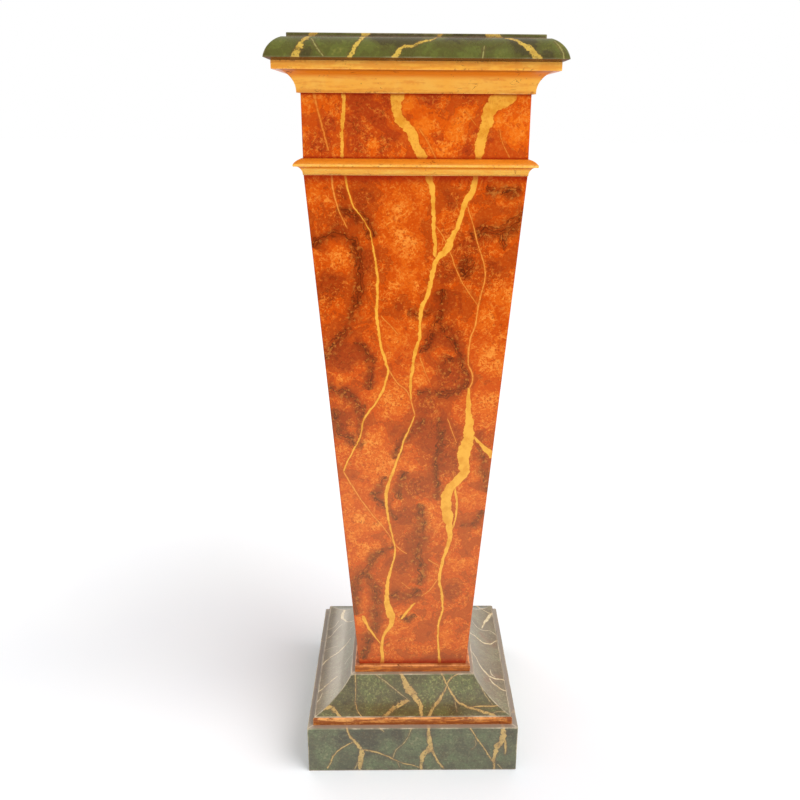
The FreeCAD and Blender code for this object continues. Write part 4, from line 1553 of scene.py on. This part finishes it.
# The paler tone of faces that look up is a painted highlight, the darker tone of those that look down is
# painted shade, and the pale arrises are partly a painted highlight.
AGED_OCHRE = OchrePaint(
    name="aged_ochre", base=paint(196, 106, 38), pale=paint(214, 128, 52), upper=paint(240, 164, 98),
    lower=paint(140, 66, 22), glaze=paint(140, 66, 22), marks=paint(76, 34, 12), worn=paint(240, 176, 108),
    dirt=paint(134, 58, 20), glaze_amount=0.75, upright=0.0, run_down=0.35, mark_amount=0.9, chips=0.5,
    settle=0.007, specular=0.35, roughness=0.34,
)

BASE_OCHRE = replace(
    AGED_OCHRE, name="base_bead_ochre", base=paint(208, 126, 50), pale=paint(238, 168, 92),
    glaze=paint(138, 64, 14), glaze_amount=0.9, run_down=0.75,
)

# Its paler tone on faces that look up is a painted highlight.
DULL_OCHRE = replace(
    AGED_OCHRE, name="dull_ochre", base=paint(120, 108, 84), pale=paint(134, 126, 100),
    upper=paint(136, 128, 106), glaze=paint(98, 84, 64),
)


PINE_ACROSS = BarePine("bare_pine_across", Grain.ACROSS)
PINE_UPRIGHT = BarePine("bare_pine_upright", Grain.UPRIGHT)
STEEL = ScrewSteel("screw_steel")


# --- The column's parts ---


def levels(node: str) -> tuple[float, float, float]:
    """A node's lowest and highest level and its farthest face, in millimetres."""
    low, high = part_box(node)
    return low.z / MM, high.z / MM, max(abs(low.x), high.x, abs(low.y), high.y) / MM


def new_object(name: str, data: bpy.types.ID) -> bpy.types.Object:
    """An object of a mesh, a lamp or a camera, put into the scene."""
    made = bpy.data.objects.new(name, data)
    bpy.context.scene.collection.objects.link(made)
    return made


def add_piece(shell: Shell, node: str, finish: Finish, bare: Finish) -> None:
    """Put a finished shell in the place of its node.

    Args:
        shell: its arrays.
        node: the node that it stands for.
        finish: its painted side.
        bare: its hidden side.
    """
    name = f"painted_{node}"
    mesh = shell.mesh(name)
    mesh.materials.append(finish.material())
    mesh.materials.append(bare.material())
    piece = new_object(name, mesh)
    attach(piece, BODY)
    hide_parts(node)
    log.info("%s: %d faces", name, len(mesh.polygons))


@dataclass
class Ring:
    """Four mitred lengths of one section round the column."""

    node: str
    slot: Slot = Slot.OCHRE
    plan: FacePlan | None = None
    cell: float = 8.0
    side_plans: dict[Side, FacePlan] = field(default_factory=dict)

    def section(self) -> Section:
        """The ring's cross-section."""
        raise NotImplementedError

    def build(self, finish: Finish, bare: Finish = PINE_ACROSS, flank: Finish | None = None) -> None:
        """Make the four lengths and dress them.

        Args:
            finish: the painted side.
            bare: the hidden side.
            flank: the painted side on the left and right, if it is another.
        """
        section = self.section()
        for side in Side:
            shell = mitred_length(section, side, self.side_plans.get(side, self.plan), self.cell)
            shown = flank if flank and side in (Side.LEFT, Side.RIGHT) else finish
            add_piece(shell, f"{self.node}_{side.tag}", shown, bare)


def shaft_face(level: float) -> float:
    """How far out the shaft's leaning face is at a level: it runs straight from foot to head."""
    low, high, head = levels("shaft_board_front")
    return Shaft.foot_half + (level - low) * (head - Shaft.foot_half) / (high - low)


@dataclass
class Cornice(Ring):
    """The moulding under the slab: an upright fillet over a cove."""

    node: str = "cornice"
    fillet_height: float = 10.0
    step: float = 7.6
    foot_projection: float = 4.6
    lip: float = 1.2
    hollow: float = 5.0
    top_depth: float = 4.0

    def section(self) -> Section:
        """Lip, cove, step and fillet."""
        low, high, face = levels("cornice_front")
        back = levels("frieze_board_front")[2]
        foot = back + self.foot_projection
        break_level = high - self.fillet_height
        return Section.draw(
            [
                (back, low, 0), (foot, low, 0.4), (foot, low + self.lip, 0.3),
                (face - self.step, break_level, 0.3, self.hollow),
                (face, break_level, 0.8), (face, high, 0.6), (face - self.top_depth, high, 0),
            ],
            [(back, high)],
        )


@dataclass
class NeckMoulding(Ring):
    """The moulding between frieze and shaft: a sloping roll with a nose over a small cove."""

    node: str = "neck_moulding"
    roll_height: float = 7.2
    roll_bulge: float = 1.5
    nose_height: float = 2.4
    step: float = 4.2
    foot_projection: float = 0.8
    lip: float = 0.8
    hollow: float = 1.8
    behind: float = 0.5
    nip: float = 1.0

    def section(self) -> Section:
        """Lip, cove, step, nose and roll."""
        low, high, face = levels("neck_moulding_front")
        back = levels("frieze_board_front")[2]
        nose_top = high - self.roll_height
        nose_foot = nose_top - self.nose_height
        foot = back + self.foot_projection
        return Section.draw(
            [
                (back, low, 0), (foot, low, 0.2), (foot, low + self.lip, 0.2),
                (face - self.step, nose_foot, 0.2, self.hollow),
                (face, nose_foot, 0.8), (face, nose_top, 0.9),
                (back, high, 0, -self.roll_bulge),
            ],
            [(back - self.behind, high - self.nip), (back - self.behind, low + self.nip)],
            step=2.0,
        )


@dataclass
class Frieze(Ring):
    """The upright boards between cornice and neck moulding."""

    node: str = "frieze_board"
    slot: Slot = Slot.RED
    plan: FacePlan | None = FRIEZE_PLAN
    thickness: float = 18.0
    cell: float = 2.5

    def section(self) -> Section:
        """A plain board; its nooks are where the mouldings meet it."""
        low, high, face = levels("frieze_board_front")
        neck_top = levels("neck_moulding_front")[1]
        cornice_foot = levels("cornice_front")[0]
        return Section.draw(
            [(face, low, 0), (face, neck_top, 0), (face, cornice_foot, 0), (face, high, 0)],
            [(face - self.thickness, high), (face - self.thickness, low)],
            step=self.cell,
            # The mouldings meeting it make nooks, where painted shade lies.
            meets=[(face, neck_top), (face, cornice_foot)],
        )


@dataclass
class Shaft(Ring):
    """The tapering boards."""

    node: str = "shaft_board"
    slot: Slot = Slot.RED
    plan: FacePlan | None = SHAFT_PLAN
    thickness: float = 18.0
    cell: float = 3.0
    foot_half: float = 82.5

    def section(self) -> Section:
        """A leaning board."""
        low, high, face = levels("shaft_board_front")
        bead_top = levels("foot_bead_front")[1]
        return Section.draw(
            [(self.foot_half, low, 0), (face, high, 0)],
            [(face - self.thickness, high), (self.foot_half - self.thickness, low)],
            # The foot bead's top makes a nook, whose painted shade darkens the shaft's foot.
            meets=[(shaft_face(bead_top), bead_top)],
        )


@dataclass
class FootBead(Ring):
    """The bead round the shaft's foot: a square strip with its upper edge rounded over."""

    node: str = "foot_bead"
    round_over: float = 1.8

    def section(self) -> Section:
        """An upright face rounded into a flat top that runs in to the shaft."""
        low, high, face = levels(f"{self.node}_front")
        inner_low, inner_high = self.inner(low, high)
        over = self.round_over
        return Section.draw(
            [
                (inner_low, low, 0), (face, low, 0.3), (face, high - over, 0),
                (face - over, high, 0, -over * (1 - math.sqrt(0.5))), (inner_high, high, 0),
            ],
            [],
            step=2.0,
        )

    def inner(self, low: float, high: float) -> tuple[float, float]:
        """How far in the strip's underside and top reach: to the shaft's leaning face."""
        return shaft_face(low), shaft_face(high)


@dataclass
class Cavetto(Ring):
    """The hollow-curved base block: a flat ledge at its head, the hollow and a thin lip."""

    node: str = "cavetto"
    slot: Slot = Slot.GREEN
    plan: FacePlan | None = CAVETTO_PLAN
    spread: float = 54.5
    hollow: float = 7.5
    lip: float = 1.0
    cell: float = 2.5
    side_plans: dict[Side, FacePlan] = field(
        default_factory=lambda: {Side.LEFT: CAVETTO_LEFT_PLAN, Side.RIGHT: CAVETTO_RIGHT_PLAN}
    )

    def section(self) -> Section:
        """Lip, hollow and ledge, from the deck up."""
        low, high, foot = levels("cavetto_front")
        head = foot - self.spread
        return Section.draw(
            [
                (foot, low, 0), (foot, low + self.lip, 0.2),
                (head, high, 0.7, self.hollow), (shaft_face(high), high, 0),
            ],
            [(shaft_face(low), low)],
            step=self.cell,
        )


@dataclass
class BaseBead(FootBead):
    """The bead round the foot of the cavetto."""

    node: str = "base_bead"
    strip: float = 7.0

    def inner(self, low: float, high: float) -> tuple[float, float]:
        """How far in the strip reaches: to the deck's edge."""
        face = levels("base_bead_front")[2]
        return face - self.strip, face - self.strip


@dataclass
class Plinth(Ring):
    """The upright boards at the foot, with a narrow ledge on top."""

    node: str = "plinth_board"
    slot: Slot = Slot.GREEN
    plan: FacePlan | None = PLINTH_PLAN
    thickness: float = 22.0
    foot_depth: float = 1.5
    cell: float = 2.5

    def section(self) -> Section:
        """An upright face and the top's painted strip."""
        low, high, face = levels("plinth_board_front")
        bead = levels("base_bead_front")[2]
        return Section.draw(
            [(face - self.foot_depth, low, 0), (face, low, 0.8), (face, high, 1.1), (bead, high, 0)],
            [(face - self.thickness, high), (face - self.thickness, low)],
            step=self.cell,
        )


@dataclass
class TopSlab:
    """The slab: a raised top, a ledge round it, a rounded edge and a bevel under the overhang."""

    rim_height: float = 4.8
    rim_inset: float = 25.0
    ledge: float = 5.5
    bulge: float = 4.0
    bevel_height: float = 2.5
    bevel_start: float = 1.5
    under_depth: float = 8.0
    cell: float = 2.6

    def section(self) -> Section:
        """From under the overhang, round the edge and over the top, nearly to the middle."""
        low, high, face = levels("top_slab")
        cornice = levels("cornice_front")[2]
        rim = face - self.rim_inset
        return Section.draw(
            [
                (cornice - self.under_depth, low, 0), (cornice + self.bevel_start, low, 0.2),
                (face, low + self.bevel_height, 0.5),
                (rim + self.ledge, high - self.rim_height, 0.3, -self.bulge),
                (rim, high - self.rim_height, 0.3), (rim, high, 0.7), (CAP_RADIUS, high, 0),
            ],
            [],
            step=self.cell,
        )

    def shell(self) -> Shell:
        """The whole slab: one side's path repeated round the column, closed above and below."""
        section = self.section()
        face = section.face()
        half, level = face.T
        radius = np.minimum(ARRIS_RADIUS, CAP_ROUNDING * half)
        across, depth = path(half, int(2 * half.max() / self.cell), radius)
        across, depth = across[:, :-1], depth[:, :-1]
        rows, columns = across.shape
        heights = np.repeat(level[:, None], columns, axis=1)
        sides = [turned(across, depth, heights, side).reshape(rows, columns, 3) for side in Side]
        points = np.concatenate(sides, axis=1).reshape(-1, 3)
        around = columns * len(Side)
        grid = np.arange(rows * around).reshape(rows, around)
        quads = grid_quads(rows, around, round_rows=False, round_columns=True)
        shell = Shell(points, quads, [grid[-1], grid[0, ::-1]], np.zeros(len(quads), bool))
        shell.fields = self.fields(section, face, across, points)
        return shell

    def fields(self, section: Section, face: Array, across: Array, points: Array) -> Fields:
        """The strokes: the edge's plan on each side, and the top's own plan on its raised part.

        Args:
            section: the slab's section.
            face: its painted line.
            across: across each side, a row for each point of the line.
            points: every vertex.

        Returns:
            An array of values for each vertex, under each field's name.
        """
        rows, columns = across.shape
        half, level = face.T
        outer = half.max()
        start = np.argmax(half >= outer - TINY)
        reach = np.concatenate([[0.0], np.cumsum(np.hypot(*np.diff(face, axis=0).T))])
        climb = np.repeat((level[start] + reach - reach[start])[:, None], columns, axis=1)
        wide = np.repeat(half[:, None], columns, axis=1)
        by_side = [
            painted_fields(across.ravel(), climb.ravel(), wide.ravel(), SLAB_EDGE_PLAN, side)
            for side in Side
        ]
        merged = {}
        for name in by_side[0]:
            parts = [values[name].reshape(rows, columns, -1) for values in by_side]
            merged[name] = np.concatenate(parts, axis=1).reshape(len(points), -1)
        top = plan_fields(points[:, :2], SLAB_TOP_PLAN)
        rim = outer - self.rim_inset
        on_top = (points[:, 2] > level.max() - TINY) & (np.abs(points[:, :2]).max(axis=1) < rim)
        for name, values in merged.items():
            values[on_top] = top[name].reshape(len(points), -1)[on_top]
            merged[name] = values.squeeze()
        arrises, nooks = section.corners()
        nooks = nooks[:-1]
        edge = np.minimum(nearest(face, arrises)[:, None], np.maximum(half[:, None] - np.abs(across), 0))
        edge = np.where(level[:, None] > level.max() - TINY, nearest(face, arrises)[:, None], edge)
        merged["edge"] = np.tile(edge, (1, len(Side))).ravel() * MM
        nook = np.repeat(nearest(face, nooks)[:, None], columns * len(Side), axis=1)
        merged["nook"] = nook.ravel() * MM
        return merged

    def build(self, finish: Finish) -> None:
        """Make the slab and dress it."""
        add_piece(self.shell(), "top_slab", finish, PINE_ACROSS)


@dataclass
class Hidden:
    """Cleats, boards, blocks, posts and fasteners: they stay as they are and get a finish."""

    across: tuple[str, ...] = ("top_cleat", "neck_board", "base_deck", "bottom_board")
    upright: tuple[str, ...] = ("frieze_block", "shaft_post", "plinth_block")
    fasteners: tuple[str, ...] = ("_screws", "_pins")

    def build(self) -> None:
        """Give each board wood whose grain runs its own way, and plate the screws and pins."""
        for node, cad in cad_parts.items():
            if node.startswith(self.across):
                dress(cad, PINE_ACROSS)
            elif node.startswith(self.upright):
                dress(cad, PINE_UPRIGHT)
            elif node.endswith(self.fasteners):
                dress(cad, STEEL)


def dress(cad: bpy.types.Object, finish: Finish) -> None:
    """Give a node that stays a finish."""
    cad.data.materials.clear()
    cad.data.materials.append(finish.material())
    log.info("%s: %s", cad.name, finish.name)


# --- Studio ---


@dataclass
class Studio:
    """A white room: pale floor, even light all round, one broad soft sun and two tall panels.

    The panels stand behind on the left and right, dim, and gleam in what slopes to the sides.
    """

    room_light: float = 0.70
    sun_strength: float = 1.90
    sun_from: tuple[float, float, float] = (0.62, -0.38, 0.68)
    sun_spread: float = 50.0
    left_power: float = 10.0
    right_power: float = 1.0
    panel_tint: tuple[float, float, float] = (1.0, 0.93, 0.82)
    panel_width: float = 1.2
    panel_height: float = 1.0
    panel_place: tuple[float, float, float] = (1.6, 1.9, 0.75)
    floor_half: float = 30.0
    floor_level: float = -0.0003
    # The photograph's viewpoint, in metres and degrees.
    stand: tuple[float, float, float] = (-0.0149, -1.2027, 0.9816)
    yaw: float = -0.986
    pitch: float = 19.182
    roll: float = 0.392
    lens: float = 37.08
    sensor: float = 36.0
    # How far the picture's frame lies to the left of the line of sight, in its widths.
    shift: float = -0.02125

    def build(self) -> None:
        """Set up the floor, the light and the camera."""
        self.lay_floor()
        self.light_room()
        self.hang_sun()
        self.stand_panel("left_panel", -1, self.left_power)
        self.stand_panel("right_panel", 1, self.right_power)
        self.place_camera()
        bpy.context.scene.view_settings.view_transform = "Standard"

    def lay_floor(self) -> None:
        """A plain pale floor under the object."""
        half = self.floor_half
        mesh = bpy.data.meshes.new("floor")
        corners = [(-half, -half), (half, -half), (half, half), (-half, half)]
        mesh.from_pydata([(x, y, self.floor_level) for x, y in corners], [], [(0, 1, 2, 3)])
        material, bench, shader = new_material("floor_white")
        tone = bench.noise(bench.position(), 3, 2)
        white = bench.blend(bench.ease(tone, 0.3, 0.7), paint(249, 251, 253), paint(247, 249, 252))
        bench.feed(shader.inputs["Base Color"], white)
        shader.inputs["Roughness"].default_value = 1.0
        shader.inputs["Specular IOR Level"].default_value = 0.0
        mesh.materials.append(material)
        floor = new_object("floor", mesh)

    def light_room(self) -> None:
        """Even room light; eye, gloss and glass see it as white."""
        world = bpy.data.worlds.new("room")
        world.use_nodes = True
        bpy.context.scene.world = world
        bench = Bench(world.node_tree)
        background = world.node_tree.nodes["Background"]
        rays = bench.add("LightPath")
        seen = bench.plus(rays.outputs["Is Camera Ray"], rays.outputs["Is Glossy Ray"])
        seen = bench.plus(seen, rays.outputs["Is Transmission Ray"], clamp=True)
        strength = bench.ease(seen, 0.0, 1.0, self.room_light, 1.0)
        bench.feed(background.inputs["Strength"], strength)
        background.inputs["Color"].default_value = (1.0, 1.0, 1.0, 1.0)

    def hang_sun(self) -> None:
        """One broad soft light from the right, in front and above."""
        lamp = bpy.data.lights.new("soft_key", "SUN")
        lamp.energy = self.sun_strength
        lamp.angle = math.radians(self.sun_spread)
        sun = new_object("soft_key", lamp)
        x, y, z = self.sun_from
        turn = math.atan2(x, -y)
        tilt = math.atan2(math.hypot(x, y), z)
        sun.rotation_euler = (tilt, 0.0, turn)
        sun.location = (2 * x, 2 * y, 2 * z)

    def stand_panel(self, name: str, way: int, power: float) -> None:
        """A light panel that faces the column, out of the camera's sight.

        Args:
            name: its name.
            way: -1 for the left side and 1 for the right.
            power: its light, in watts.
        """
        x, y, z = self.panel_place
        lamp = bpy.data.lights.new(name, "AREA")
        lamp.shape = "RECTANGLE"
        lamp.size = self.panel_width
        lamp.size_y = self.panel_height
        lamp.color = self.panel_tint
        lamp.energy = power
        panel = new_object(name, lamp)
        panel.location = (way * x, y, z)
        panel.rotation_euler = (math.pi / 2, 0.0, math.pi - math.atan2(way * x, y))
        panel.visible_camera = False

    def place_camera(self) -> None:
        """The photograph's camera."""
        data = bpy.data.cameras.new("camera")
        data.lens = self.lens
        data.sensor_width = self.sensor
        data.shift_x = self.shift
        camera = new_object("camera", data)
        turn = Matrix.Rotation(math.radians(self.yaw), 4, "Z")
        nod = Matrix.Rotation(math.radians(90 - self.pitch), 4, "X")
        lean = Matrix.Rotation(math.radians(self.roll), 4, "Z")
        camera.matrix_world = Matrix.Translation(self.stand) @ turn @ nod @ lean
        bpy.context.scene.camera = camera


def main() -> None:
    """Build the parts in order, from the slab down, and then the studio."""
    logging.basicConfig(level=logging.INFO, format="%(message)s")
    TopSlab().build(SLAB_MARBLE)
    Cornice().build(CORNICE_OCHRE)
    Frieze().build(FRIEZE_MARBLE)
    NeckMoulding().build(NECK_OCHRE)
    Shaft().build(RED_MARBLE, PINE_UPRIGHT)
    FootBead().build(AGED_OCHRE)
    # The cavetto's left and right lengths take a copy of its marble with a painted sheen.
    Cavetto().build(BASE_MARBLE, flank=SIDE_MARBLE)
    BaseBead().build(BASE_OCHRE, flank=DULL_OCHRE)
    Plinth().build(PLINTH_MARBLE)
    Hidden().build()
    Studio().build()


if __name__ == "__main__":
    main()
